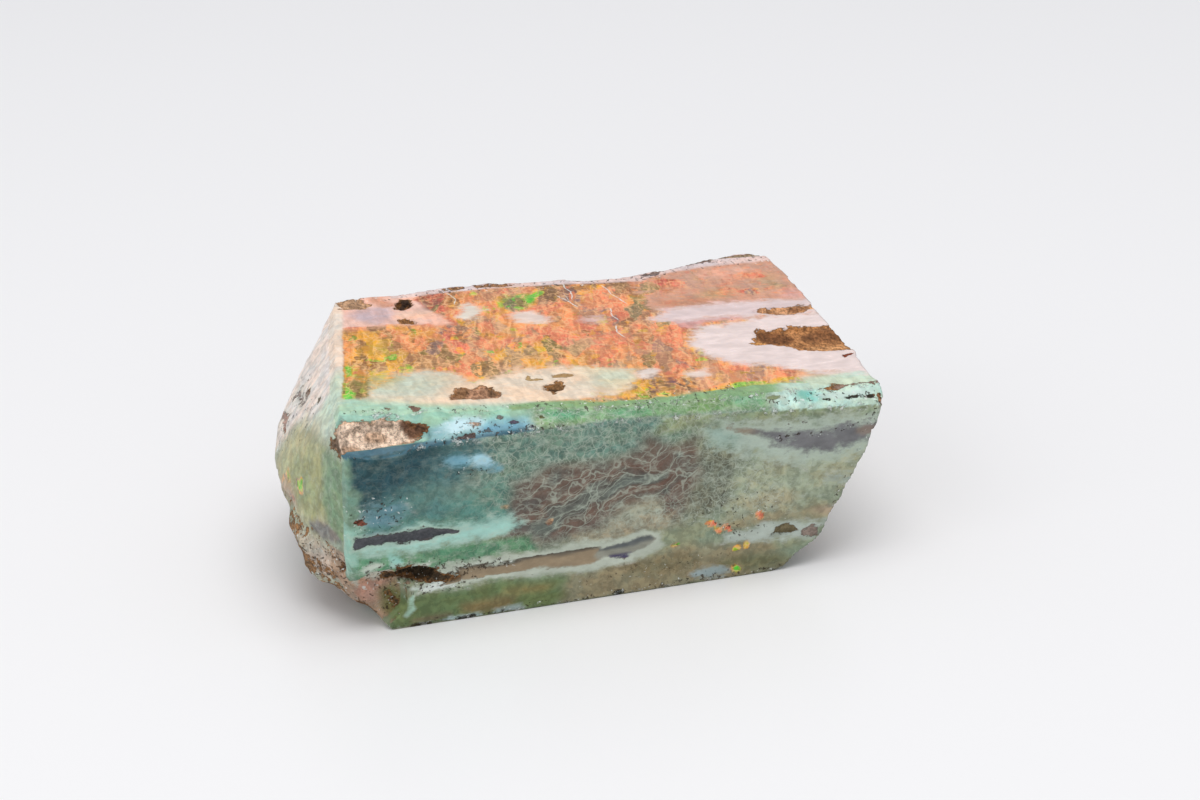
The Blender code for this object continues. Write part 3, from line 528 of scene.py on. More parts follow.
class OpalFinish(bpy.types.PropertyGroup):
    """Colours and gloss of the opal."""

    ember: colour("Ember", "Deepest fire", 0.70, 0.24, 0.14)
    red: colour("Red", "Red fire", 0.94, 0.46, 0.35)
    orange: colour("Orange", "Orange fire", 0.95, 0.57, 0.35)
    gold: colour("Gold", "Golden fire", 0.94, 0.67, 0.07)
    lime: colour("Lime", "Yellow-green fire", 0.62, 0.80, 0.18)
    green: colour("Green", "Green fire", 0.28, 0.82, 0.20)
    shade: colour("Shade", "Brown shadow between the flashes", 0.50, 0.30, 0.11)
    clay: colour("Clay", "Salmon ground between the flashes", 0.80, 0.52, 0.38)
    haze: colour("Haze", "Pale ground between the flashes", 0.80, 0.62, 0.44)
    dusk: colour("Dusk", "Violet-grey ground between the flashes", 0.50, 0.42, 0.46)
    moss: colour("Moss", "Olive ground between the flashes", 0.50, 0.50, 0.20)
    thread: colour("Threads", "Pale hair cracks over the fire", 0.96, 0.78, 0.56)
    vein: colour("Veins", "Fine pale veins of the body", 0.76, 0.80, 0.73)
    speck: colour("Specks", "Small dark pits", 0.24, 0.19, 0.14)
    # Frost white of the chips, crumbs and scratches, also used for the painted glints along the edges
    chip: colour("Chips", "Frosted chips along the edges", 0.90, 0.92, 0.90)
    rust: colour("Rust", "Stained rim of the host rock", 0.76, 0.52, 0.28)
    gloss: number("Ground roughness", "Roughness of the ground faces", 0.26)
    dull: number("Broken roughness", "Roughness of the broken sides", 0.62)
    depth: number("Milkiness", "How much light spreads inside the opal", 0.08)


class OpalStudio(bpy.types.PropertyGroup):
    """Floor, light and camera."""

    floor: colour("Floor", "Floor colour", 0.945, 0.945, 0.945)
    sky: number("Surrounding light", "Strength of the even light all round", 0.56, 0, 5)
    key: number("Main light", "Power of the large soft light above the front, in watts", 46.5, 0, 500)
    side: number("Side light", "Power of the soft light beside the left end, in watts", 8.0, 0, 500)
    azimuth: number("Azimuth", "Turn of the camera round the block, in degrees", -19.5, -180, 180)
    elevation: number("Elevation", "Height of the camera above the horizon, in degrees", 22.0, -90, 90)
    distance: length("Distance", "Camera to the point it looks at", 0.85, 0.1, 5.0)
    lens: number("Lens", "Focal length in millimetres", 85.0, 20, 300)


# The fine skin ----------------------------------------------------------------------------------------

GROUND_AREA = 200 * MM * MM
FACES_ALONG_AXIS = 0.97


def ground_planes(mesh):
    """The ground faces of the solid as name: (point in metres, outward normal)."""
    patches = {}
    for face in mesh.polygons:
        key = tuple(round(c, 2) for c in face.normal) + (round(face.normal.dot(face.center) / MM, 0),)
        area, normal, point = patches.get(key, (0, Vector(), Vector()))
        patches[key] = (area + face.area, normal + face.normal * face.area, point + face.center * face.area)
    large = [(normal / area, point / area) for area, normal, point in patches.values() if area > GROUND_AREA]
    named = {}
    for normal, point in large:
        normal = normal.normalized()
        if normal.z > FACES_ALONG_AXIS:
            name = "top"
        elif normal.z < -FACES_ALONG_AXIS:
            name = "base"
        elif normal.y < -FACES_ALONG_AXIS:
            name = "front"
        else:
            name = "shoulder_left" if point.x < 0 else "shoulder_right"
        named[name] = (np.array(point), np.array(normal))
    missing = {"top", "base", "front", "shoulder_left", "shoulder_right"} - set(named)
    if missing:
        raise RuntimeError(f"the solid has no ground face {sorted(missing)}")
    return named


def fine_skin(source, step):
    """An even fine mesh that lies on the solid, as a new object."""
    guide = bpy.data.objects.new("guide", source.data.copy())
    piece = bpy.data.objects.new("opal", source.data.copy())
    for obj in (guide, piece):
        bpy.context.scene.collection.objects.link(obj)
        weld = obj.modifiers.new("Weld", "WELD")
        weld.merge_threshold = 1e-6
    even = piece.modifiers.new("Even", "REMESH")
    even.mode = "VOXEL"
    even.voxel_size = step
    settle = piece.modifiers.new("Settle", "SHRINKWRAP")
    settle.target = guide
    settle.wrap_method = "NEAREST_SURFACEPOINT"
    bpy.context.view_layer.update()
    depsgraph = bpy.context.evaluated_depsgraph_get()
    mesh = bpy.data.meshes.new_from_object(piece.evaluated_get(depsgraph))
    piece.modifiers.clear()
    piece.data = mesh
    mesh.name = "opal"
    bpy.data.objects.remove(guide)
    return piece


def points_of(mesh):
    """(points in millimetres, unit normals) of a mesh as two arrays."""
    points = np.empty(len(mesh.vertices) * 3)
    mesh.vertices.foreach_get("co", points)
    normals = np.empty(len(mesh.vertices) * 3)
    mesh.vertex_normals.foreach_get("vector", normals)
    return points.reshape(-1, 3) / MM, normals.reshape(-1, 3)


def smooth_step(low, high, value):
    t = np.clip((value - low) / (high - low), 0, 1)
    return t * t * (3 - 2 * t)


WAVES = 9
WAVE_PEAK = 3.6


def swell(points, size, seed):
    """Smooth noise from -1 to 1 at every point. Size is one length, or three along X, Y, Z."""
    picks = np.random.default_rng(seed)
    scaled = points / np.asarray(size, float)
    total = np.zeros(len(points))
    for _ in range(WAVES):
        way = picks.normal(size=3)
        way *= picks.uniform(0.6, 1.6) * 2 * math.pi / 3 / np.linalg.norm(way)
        total += np.sin(scaled @ way + picks.uniform(0, 2 * math.pi))
    return np.clip(total / WAVE_PEAK, -1, 1)


def grains(points, size, octaves, seed):
    """Fine broken noise, about -1 to 1, at every point."""
    offset = Vector((seed * 7.3, seed * 3.1, seed * 5.7))
    scaled = points / np.asarray(size, float)
    return np.array([noise.fractal(Vector(p) + offset, 0.9, 2.1, octaves) for p in scaled])


def outline_depth(outline, u, v):
    """How far each point is inside an outline, in millimetres. It is negative outside."""
    nearest = np.full(len(u), 1e9)
    inside = np.zeros(len(u), bool)
    for (u0, v0), (u1, v1) in zip(outline, outline[1:] + outline[:1]):
        du, dv = u1 - u0, v1 - v0
        t = np.clip(((u - u0) * du + (v - v0) * dv) / (du * du + dv * dv), 0, 1)
        nearest = np.minimum(nearest, np.hypot(u - u0 - t * du, v - v0 - t * dv))
        if dv:
            inside ^= ((v0 > v) != (v1 > v)) & (u < u0 + (v - v0) * du / dv)
    return np.where(inside, nearest, -nearest)


# The bevel between top and front: its lower edge and its width, in millimetres, at five places along X.
BEVEL_X = (-77, -40, -2, 40, 78)
BEVEL_FOOT = (52.8, 53.1, 53.4, 50.2, 47.0)
BEVEL_WIDTH = (13.4, 9.3, 4.1, 5.6, 7.1)
SLOPE = 12  # height of the bevel as its patches count it

LEFT_END = -45  # the worn end lies left of this X
BREAK = (-52, -46, 24)  # the broken corner lies left of, before and below this place
FAR = 99.0
GROUND_REACH = 2.6  # skin less than this below a ground face belongs to it
ROCK_REACH = 4.5  # a patch of rock reaches this far down over an arris


class Places:
    """Where every point of the skin is: on which face, how deep below it and where across it."""

    def __init__(self, points, normals, planes):
        self.points = points
        self.normals = normals
        below = {name: (np.array(p) / MM - points) @ n for name, (p, n) in planes.items()}
        below["shoulder"] = np.minimum(below.pop("shoulder_left"), below.pop("shoulder_right"))
        self.below = below
        facing = {name: normals @ planes[name][1] for name in ("top", "front", "base")}
        facing["shoulder"] = np.maximum(
            normals @ planes["shoulder_left"][1], normals @ planes["shoulder_right"][1]
        )
        order = ("top", "front", "shoulder", "base")
        ranked = np.stack([np.where(facing[f] > 0.25, below[f], FAR) for f in order])
        nearest = np.argmin(ranked, 0)
        ground = ranked.min(0) < GROUND_REACH
        self.on = {f: ground & (nearest == i) for i, f in enumerate(order)}
        self.skin = ~ground
        x, y, z = points.T
        self.on["left"] = self.skin & (normals[:, 0] < -0.2) & (x < LEFT_END)
        self.on["break"] = self.skin & (x < BREAK[0]) & (y < BREAK[1]) & (z < BREAK[2])
        self.on["left"] &= ~self.on["break"]
        for name in ("left", "break"):
            self.below[name] = np.where(self.on[name], 0.0, FAR)
        bend = swell(points, (14, 8, 8), 1) * 1.8 + swell(points, (4.5, 2.2, 2.2), 2) * 1.3
        lift = swell(points, (14, 8, 8), 3) * 0.9 + swell(points, (5, 2.2, 2.2), 4) * 0.55
        lower = np.interp(x, BEVEL_X, BEVEL_FOOT)
        front_y = planes["front"][0][1] / MM
        climb = np.hypot(y - front_y, z - lower) * np.sign(z - lower)
        full = np.interp(x, BEVEL_X, BEVEL_WIDTH)
        across = {
            "top": (x, y), "front": (x, z), "base": (x, y), "left": (y, z), "break": (x, z),
            "shoulder": (x, SLOPE * climb / full),
        }
        self.across = {f: (u + bend, v + lift) for f, (u, v) in across.items()}
        self.across["rim"] = (x, y)
        self.on["rim"] = self.on["top"]
        self.below["rim"] = self.below["top"]

    def inside(self, face, outline):
        return outline_depth(outline, *self.across[face])


def painted_amount(places, patches):
    """One amount for every point, from patches that lie over each other."""
    total = np.zeros(len(places.points))
    for face, outline, soft, strength in patches:
        amount = smooth_step(-soft, soft, places.inside(face, outline)) * places.on[face]
        total += (strength - total) * amount
    return total


SCRATCH_SIDE = 4.0  # the distance from a scratch isn't counted further than this


def scratch_lines(places):
    """How far each point lies right (+) or left (-) of a scratch, and 1 where that scratch reaches."""
    x, y = places.points[:, 0], places.points[:, 1]
    nearest = np.full(len(x), 1e9)
    side = np.full(len(x), SCRATCH_SIDE)
    reach = np.zeros(len(x))
    for line in SCRATCHES:
        last = len(line) - 2
        for k, ((x0, y0), (x1, y1)) in enumerate(zip(line, line[1:])):
            dx, dy = x1 - x0, y1 - y0
            size = math.hypot(dx, dy)
            along = ((x - x0) * dx + (y - y0) * dy) / size
            across = ((x - x0) * dy - (y - y0) * dx) / size
            beyond = np.maximum(-along, along - size)
            gap = np.hypot(across, np.maximum(beyond, 0))
            at_joint = ((along < 0) & (k > 0)) | ((along > size) & (k < last))
            fade = 1 - smooth_step(-0.8, 0.8, np.where(at_joint, -1.0, beyond))
            closer = gap < nearest
            nearest = np.where(closer, gap, nearest)
            side = np.where(closer, np.sign(across) * np.minimum(gap, SCRATCH_SIDE), side)
            reach = np.where(closer, fade, reach)
    return side, reach * places.on["top"]


BANDS = ((0.42, 0.46, 0.38), (0.52, 0.54, 0.43), (0.62, 0.62, 0.52), (0.74, 0.74, 0.66), (0.80, 0.74, 0.68))
GRITTY_SINK = 0.2
MILK_LIMIT = 4.0
ROCK_LIMIT = 5.0


def tinted(base, shade, amount):
    """Colours at every point, moved towards a shade by an amount."""
    return base + (np.array(shown(*shade)) - base) * amount[:, None]


def paint_body(places):
    """Ground colour: bands on the broken skin, patches on the faces."""
    bands = swell(places.points, (60, 26, 5.5), 11) + 0.5 * swell(places.points, (30, 12, 2.6), 12)
    palette = np.array([shown(*band) for band in BANDS])
    step = np.clip((bands * 0.5 + 0.5) * (len(palette) - 1), 0, len(palette) - 1.001)
    low = step.astype(int)
    part = (step - low)[:, None]
    body = palette[low] * (1 - part) + palette[low + 1] * part
    body[places.on["front"]] = shown(0.56, 0.60, 0.50)
    body[places.on["top"]] = shown(0.80, 0.60, 0.46)
    for face, outline, soft, shade in BODY_AND_HIGHLIGHTS:
        amount = smooth_step(-soft, soft, places.inside(face, outline)) * places.on[face]
        body = tinted(body, shade, amount)
    return {"body": body}


def paint_fire(places):
    """Strength and hue of the fire."""
    fire = np.zeros(len(places.points))
    hue = np.full(len(places.points), 0.4)
    for face, outline, soft, tone, strength in FIRE:
        amount = smooth_step(-1.5 * soft, 1.5 * soft, places.inside(face, outline)) * places.on[face]
        fire += (strength - fire) * amount
        hue += (tone - hue) * amount
    return {"fire": fire, "hue": hue}


def paint_milk(places):
    """Depth inside the milky lenses, in steps of their softness, and their colour."""
    milk = np.full(len(places.points), -MILK_LIMIT)
    tint = np.tile(shown(0.85, 0.80, 0.77), (len(milk), 1))
    for face, outline, soft, shade in MILK_AND_HIGHLIGHTS:
        field = np.where(places.on[face], places.inside(face, outline) / soft, -MILK_LIMIT)
        tint = tinted(tint, shade, smooth_step(-3.0, -0.5, field))
        milk = np.maximum(milk, np.clip(field, -MILK_LIMIT, MILK_LIMIT))
    return {"milk": milk, "milk_tint": tint}


def paint_rock(places, crumbly, worn):
    """Depth inside the host rock, in steps of its softness, with its colour, grit and sink."""
    rock = np.full(len(places.points), -ROCK_LIMIT)
    tint = np.tile(shown(0.52, 0.42, 0.32), (len(rock), 1))
    sink = np.zeros(len(rock))
    grit = np.ones(len(rock))
    for face, outline, soft, shade, depth in ROCK_AND_SHADE:
        near = places.below[face] < ROCK_REACH
        field = np.where(near, places.inside(face, outline) / soft, -ROCK_LIMIT)
        amount = smooth_step(-3.0, -0.2, field)
        tint = tinted(tint, shade, amount)
        grit += (min(depth / GRITTY_SINK, 1.0) - grit) * amount
        sink = np.maximum(sink, depth * smooth_step(-0.5, 1.0, field))
        rock = np.maximum(rock, np.clip(field, -ROCK_LIMIT, ROCK_LIMIT))
    crust = swell(places.points, (30, 16, 9), 22) + 0.6 * swell(places.points, (9, 7, 3), 23)
    crust += np.where(places.points[:, 1] > 20, 0.15, -0.25) + np.where(crumbly, 0.35, 0)
    crust -= np.where(places.on["break"], 0.5, 0)
    crust = np.where(places.skin & ~worn, crust * 2.2, -3.0)
    rock = np.maximum(rock, np.clip(crust, -3, 3))
    return {"rock": rock, "rock_tint": tint, "grit": grit, "sink": sink}


def paint(places):
    """Every colour and amount that the finish and the relief read, as name: array."""
    _, y, z = places.points.T
    # Above this height the left end is worn smooth, below it is crumbly rock.
    worn_line = 24 + 0.12 * (y + 54) + swell(places.points, 6, 21) * 1.5
    crumbly = places.on["left"] & (z < worn_line)
    worn = places.on["left"] & ~crumbly
    below = np.stack([np.abs(places.below[f]) for f in ("top", "front", "shoulder", "base")])
    edges = np.sort(below, 0)[1]
    scratch, scratched = scratch_lines(places)
    return {
        **paint_body(places), **paint_fire(places), **paint_milk(places), **paint_rock(places, crumbly, worn),
        "web": painted_amount(places, WEB),
        "crumbs": painted_amount(places, CRUMBS),
        "flow": painted_amount(places, FLOW),
        "rough": np.where(places.skin, np.where(worn, 0.15, 1.0), 0.0),
        "worn": worn * 1.0,
        "edges": edges,
        # Chips along the arrises: frosted chips and painted edge glints, both white
        "chip": (1 - smooth_step(0.2, 1.4, edges)) * smooth_step(0.15, 0.6, swell(places.points, 2.2, 31)),
        "scratch": scratch,
        "scratched": scratched,
        "lying": smooth_step(0.5, 0.9, places.normals[:, 2]),
    }


DEEPEST_CUT = 2


def relief(piece, places, fields, shape):
    """Cuts the fine relief into the skin, always inwards, so the block keeps its size."""
    points = places.points
    skin_noise = grains(points, (2.6, 1.9, 1.5), 4, 1)
    crumb = grains(points, 1.1, 3, 2)
    rock_amount = smooth_step(-0.4, 0.6, fields["rock"])
    cut = fields["rough"] * (0.5 + 0.5 * skin_noise) * shape.skin_relief / MM
    cut += rock_amount * (0.5 + 0.6 * crumb) * shape.hollow_relief / MM
    cut += fields["sink"]
    growth = np.sin(points[:, 2] * 1.1 + points[:, 1] * 0.5 + 4.0 * swell(points, 14, 41))
    cut += fields["worn"] * (0.5 + 0.5 * growth) * shape.worn_relief / MM
    edge_noise = smooth_step(0.0, 0.7, swell(points, (3.4, 1.8, 1.8), 42) + 0.5 * crumb)
    cut += (1 - smooth_step(0.0, 1.3, fields["edges"])) * (0.12 + edge_noise * shape.chip_depth / MM)
    cut[places.on["base"]] = 0
    cut = np.clip(cut, 0, DEEPEST_CUT)
    carved = (points - places.normals * cut[:, None]) * MM
    carved[:, 2] = np.where(places.on["base"], points[:, 2] * MM, np.maximum(carved[:, 2], 0.0))
    piece.data.vertices.foreach_set("co", carved.ravel())
    piece.data.update()


def store(mesh, fields):
    """Writes the painted amounts and colours on the mesh."""
    for name, values in fields.items():
        if values.ndim == 2:
            layer = mesh.attributes.new(name, "FLOAT_COLOR", "POINT")
            layer.data.foreach_set("color", np.hstack([values, np.ones((len(values), 1))]).ravel())
        else:
            layer = mesh.attributes.new(name, "FLOAT", "POINT")
            layer.data.foreach_set("value", values.astype(float))


# The finish -------------------------------------------------------------------------------------------

class Mixer:
    """Short names for the shader nodes that the finish is mixed from."""

    def __init__(self, material):
        self.nodes = material.node_tree.nodes
        self.links = material.node_tree.links

    def add(self, kind, inputs, output=0, **settings):
        node = self.nodes.new(kind)
        for name, value in settings.items():
            setattr(node, name, value)
        for key, value in inputs.items():
            if isinstance(value, bpy.types.NodeSocket):
                self.links.new(value, node.inputs[key])
            else:
                if node.inputs[key].type == "RGBA" and len(value) == 3:
                    value = tuple(value) + (1.0,)
                node.inputs[key].default_value = value
        return node.outputs[output]

    def math(self, operation, a, b=0.0, clamp=False):
        return self.add("ShaderNodeMath", {0: a, 1: b}, operation=operation, use_clamp=clamp)

    def times(self, first, *others):
        for other in others:
            first = self.math("MULTIPLY", first, other)
        return first

    def plus(self, first, *others):
        for other in others:
            first = self.math("ADD", first, other)
        return first

    def swing(self, value, size):
        """A value from 0 to 1 turned into one from -size / 2 to size / 2."""
        return self.math("MULTIPLY", self.math("SUBTRACT", value, 0.5), size)

    def between(self, amount, a, b):
        """A number between a and b."""
        return self.add("ShaderNodeMix", {0: amount, 2: a, 3: b}, 0)

    def vector(self, operation, a, b):
        return self.add("ShaderNodeVectorMath", {0: a, 1: b}, operation=operation)

    def scaled(self, at, x, y, z):
        """A place scaled along each axis. A factor below 1 draws a pattern out along that axis."""
        return self.vector("MULTIPLY", at, (x, y, z))

    def shifted(self, at, x, y, z):
        return self.vector("ADD", at, (x, y, z))

    def turned(self, at, axis, angle):
        """A place turned about an axis. Angle is in degrees."""
        inputs = {"Vector": at, "Axis": axis, "Angle": math.radians(angle)}
        return self.add("ShaderNodeVectorRotate", inputs)

    def mix(self, amount, a, b, blend="MIX"):
        return self.add("ShaderNodeMix", {0: amount, 6: a, 7: b}, 2, data_type="RGBA", blend_type=blend)

    def greys(self, amount, low, high):
        """A grey between two brightnesses."""
        return self.mix(amount, (low,) * 3, (high,) * 3)

    def stained(self, base, stain):
        """A colour multiplied by another."""
        return self.mix(1.0, base, stain, "MULTIPLY")

    def shaded(self, base, amount, low, high):
        """A colour darkened to low or lightened to high by an amount from 0 to 1."""
        return self.stained(base, self.greys(amount, low, high))

    def step(self, value, low, high, to_low=0.0, to_high=1.0):
        return self.add(
            "ShaderNodeMapRange",
            {"Value": value, "From Min": low, "From Max": high, "To Min": to_low, "To Max": to_high},
            interpolation_type="SMOOTHSTEP",
        )

    def noise(self, at, scale, detail=2.0, roughness=0.5, twist=0.0, output=0):
        inputs = {"Vector": at, "Scale": scale, "Detail": detail, "Roughness": roughness, "Distortion": twist}
        return self.add("ShaderNodeTexNoise", inputs, output)

    def channels(self, colours):
        """The three numbers of a colour."""
        red = self.add("ShaderNodeSeparateColor", {0: colours}, 0)
        return red, red.node.outputs[1], red.node.outputs[2]

    def lots(self, at, scale):
        """Three random values for every cell."""
        return self.channels(self.add("ShaderNodeTexVoronoi", {"Vector": at, "Scale": scale}, "Color"))

    def painted(self, name, output="Fac"):
        return self.add("ShaderNodeAttribute", {}, output, attribute_name=name)

    def ramp(self, amount, stops):
        node = self.nodes.new("ShaderNodeValToRGB")
        ramp = node.color_ramp
        for place, shade in stops[:-2]:
            ramp.elements.new(place)
        for element, (place, shade) in zip(ramp.elements, stops):
            element.position = place
            element.color = tuple(shade) + (1.0,)
        self.links.new(amount, node.inputs[0])
        return node.outputs[0]


def sway_of(m, at, size, detail):
    """Smooth noise in three directions, each about -0.5 to 0.5. Size is in millimetres."""
    return m.vector("SUBTRACT", m.noise(at, 1 / size, detail, 0.6, output="Color"), (0.5, 0.5, 0.5))


def moved(m, at, *sways):
    """A place moved by pairs of (sway, reach in millimetres)."""
    for sway, reach in sways:
        at = m.vector("ADD", at, m.vector("MULTIPLY", sway, (reach, reach, reach)))
    return at


def net_of(m, at, size, width, halo):
    """A net of thin lines with a soft glow beside them. Size is the mesh of the net in millimetres."""
    cells = m.add("ShaderNodeTexVoronoi", {"Vector": at, "Scale": 1 / size}, 0, feature="DISTANCE_TO_EDGE")
    core = m.step(cells, 0.0, width, 1.0, 0.0)
    return m.math("MAXIMUM", core, m.step(cells, 0.0, 0.32, halo, 0.0))


def double_net(m, at, coarse, fine, shift, weight):
    """A coarse net with a fainter fine one in it, each as (size, width, halo)."""
    return m.math("MAXIMUM", net_of(m, at, *coarse), m.times(net_of(m, m.shifted(at, *shift), *fine), weight))


def body_layer(m, at, slow, quick, cloud, look):
    """Clouded body with the net of pale veins and the flowing lines of the heart."""
    bent = moved(m, at, (slow, 7.0))
    shade = m.painted("body", "Color")
    lying = m.painted("lying")
    banded = m.noise(m.scaled(bent, 0.16, 0.7, 1.0), 0.30, 3.0, 0.55)
    brushed = m.noise(m.scaled(at, 1.0, 0.3, 1.0), 0.36, 4.0, 0.60, 0.6)
    shade = m.shaded(shade, m.step(m.between(lying, banded, brushed), 0.32, 0.68), 0.88, 1.12)
    tone = m.noise(m.scaled(bent, 0.5, 1.0, 1.0), 0.16, 2.0, 0.6)
    shade = m.stained(shade, m.mix(m.step(tone, 0.35, 0.65), (1.07, 0.99, 0.93), (0.94, 1.01, 1.06)))
    web = m.painted("web")
    mottle = m.noise(moved(m, at, (slow, 3.0)), 0.38, 4.0, 0.62)
    even = m.step(mottle, 0.40, 0.60)
    plain = m.mix(lying, m.greys(even, 0.84, 1.14), m.greys(even, 0.93, 1.06))
    shade = m.stained(shade, m.mix(web, plain, m.greys(even, 0.72, 1.22)))

    net_at = moved(m, at, (slow, 3.4), (quick, 0.3))
    net = m.times(net_of(m, net_at, 3.0, 0.075, 0.14), m.step(cloud, 0.38, 0.60, 0.35, 1.0))
    fine_net = net_of(m, m.shifted(net_at, 9.0, 4.0, 2.0), 1.9, 0.09, 0.12)
    net = m.math("MAXIMUM", net, m.times(fine_net, 0.60))
    shade = m.mix(m.times(net, web, 0.62), shade, look.vein)

    drawn_out = m.scaled(m.turned(at, (0.0, 1.0, 0.0), 24), 0.28, 0.8, 0.9)
    flow_at = moved(m, drawn_out, (sway_of(m, at, 13.0, 1.0), 10.0), (slow, 1.8), (quick, 0.12))
    flow = double_net(m, flow_at, (4.6, 0.045, 0.12), (2.6, 0.06, 0.08), (31.0, 7.0, 3.0), 0.6)
    heart = m.painted("flow")
    pools = m.noise(flow_at, 0.10, 2.0, 0.5)
    depth = m.ramp(pools, [(0.30, shown(0.40, 0.44, 0.41)), (0.38, shown(0.32, 0.31, 0.29)),
                           (0.45, shown(0.43, 0.32, 0.27)), (0.56, shown(0.37, 0.30, 0.27)),
                           (0.66, shown(0.34, 0.38, 0.37))])
    shade = m.mix(m.times(heart, 0.85), shade, m.shaded(depth, m.step(mottle, 0.35, 0.65), 0.84, 1.16))
    return m.mix(m.times(flow, heart, 0.50), shade, look.vein), m.math("MAXIMUM", m.times(net, web), heart)


def fire_layer(m, at, slow, quick, cloud, look):
    """Flashes in three sizes over a brown and pale ground, with hair cracks."""
    plain = m.scaled(m.turned(at, (0.0, 0.0, 1.0), 16.7), 1.0, 0.48, 1.0)
    place = moved(m, plain, (slow, 3.0), (quick, 0.25))
    tone = m.painted("hue")
    drift, cover, patches = m.channels(m.noise(plain, 0.125, 3.0, 0.60, 0.5, "Color"))
    mid, mid_2, mid_3 = m.lots(place, 0.22)
    fine, fine_2, fine_3 = m.lots(m.shifted(place, 1.0, 9.0, 0.0), 0.52)
    stops = [
        (0.0, look.ember), (0.12, look.red), (0.36, look.orange), (0.60, look.gold), (0.80, look.lime),
        (1.0, look.green),
    ]
    ground = m.mix(m.step(patches, 0.42, 0.58), look.shade, look.haze)
    ground = m.mix(m.step(drift, 0.45, 0.58, 0.0, 0.8), ground, look.clay)
    ground = m.mix(0.62, ground, m.painted("body", "Color"))
    shade = m.mix(m.step(mid_3, 0.80, 0.90, 0.0, 0.55), ground, look.dusk)

    flash = m.step(m.painted("fire"), 1.0, 1.6)
    vary = m.step(flash, 0.0, 1.0, 1.0, 0.12)
    hot = m.ramp(m.plus(tone, m.times(m.plus(m.swing(drift, 1.1), m.swing(mid, 0.16)), vary), -0.03), stops)
    bright = m.step(m.plus(cover, m.swing(mid_2, 0.11), m.times(flash, 0.14)), 0.455, 0.545)
    shade = m.mix(m.times(bright, 0.86), shade, hot)
    warm = m.ramp(m.plus(tone, m.times(m.swing(mid, 0.34), vary), 0.02), stops)
    shade = m.mix(m.times(m.step(mid_2, 0.66, 0.76), 0.50), shade, warm)
    olive = m.mix(mid_3, look.shade, look.moss)
    shade = m.mix(m.times(m.step(mid_2, 0.10, 0.22, 0.70, 0.0), vary), shade, olive)
    spark = m.ramp(m.plus(tone, m.swing(fine, 0.60), 0.16), stops)
    clusters = m.step(cloud, 0.46, 0.56, 0.05, 1.0)
    shade = m.mix(m.times(m.step(fine_2, 0.74, 0.84), clusters, 0.70), shade, spark)
    shade = m.mix(m.times(m.step(fine_3, 0.86, 0.94), clusters, 0.45), shade, look.shade)
    brush = m.noise(m.scaled(plain, 1.0, 0.5, 1.0), 0.42, 3.0, 0.60, 0.9)
    shade = m.shaded(shade, m.step(brush, 0.36, 0.64), 0.72, 1.16)

    crack_at = moved(m, at, (slow, 3.0), (quick, 0.5))
    cracks = double_net(m, crack_at, (4.6, 0.08, 0.05), (2.5, 0.12, 0.04), (7.0, 2.0, 0.0), 0.60)
    cracks = m.times(cracks, m.step(brush, 0.38, 0.55, 0.30, 1.0))
    return m.mix(m.times(cracks, 0.74), shade, m.mix(0.15, look.thread, hot))


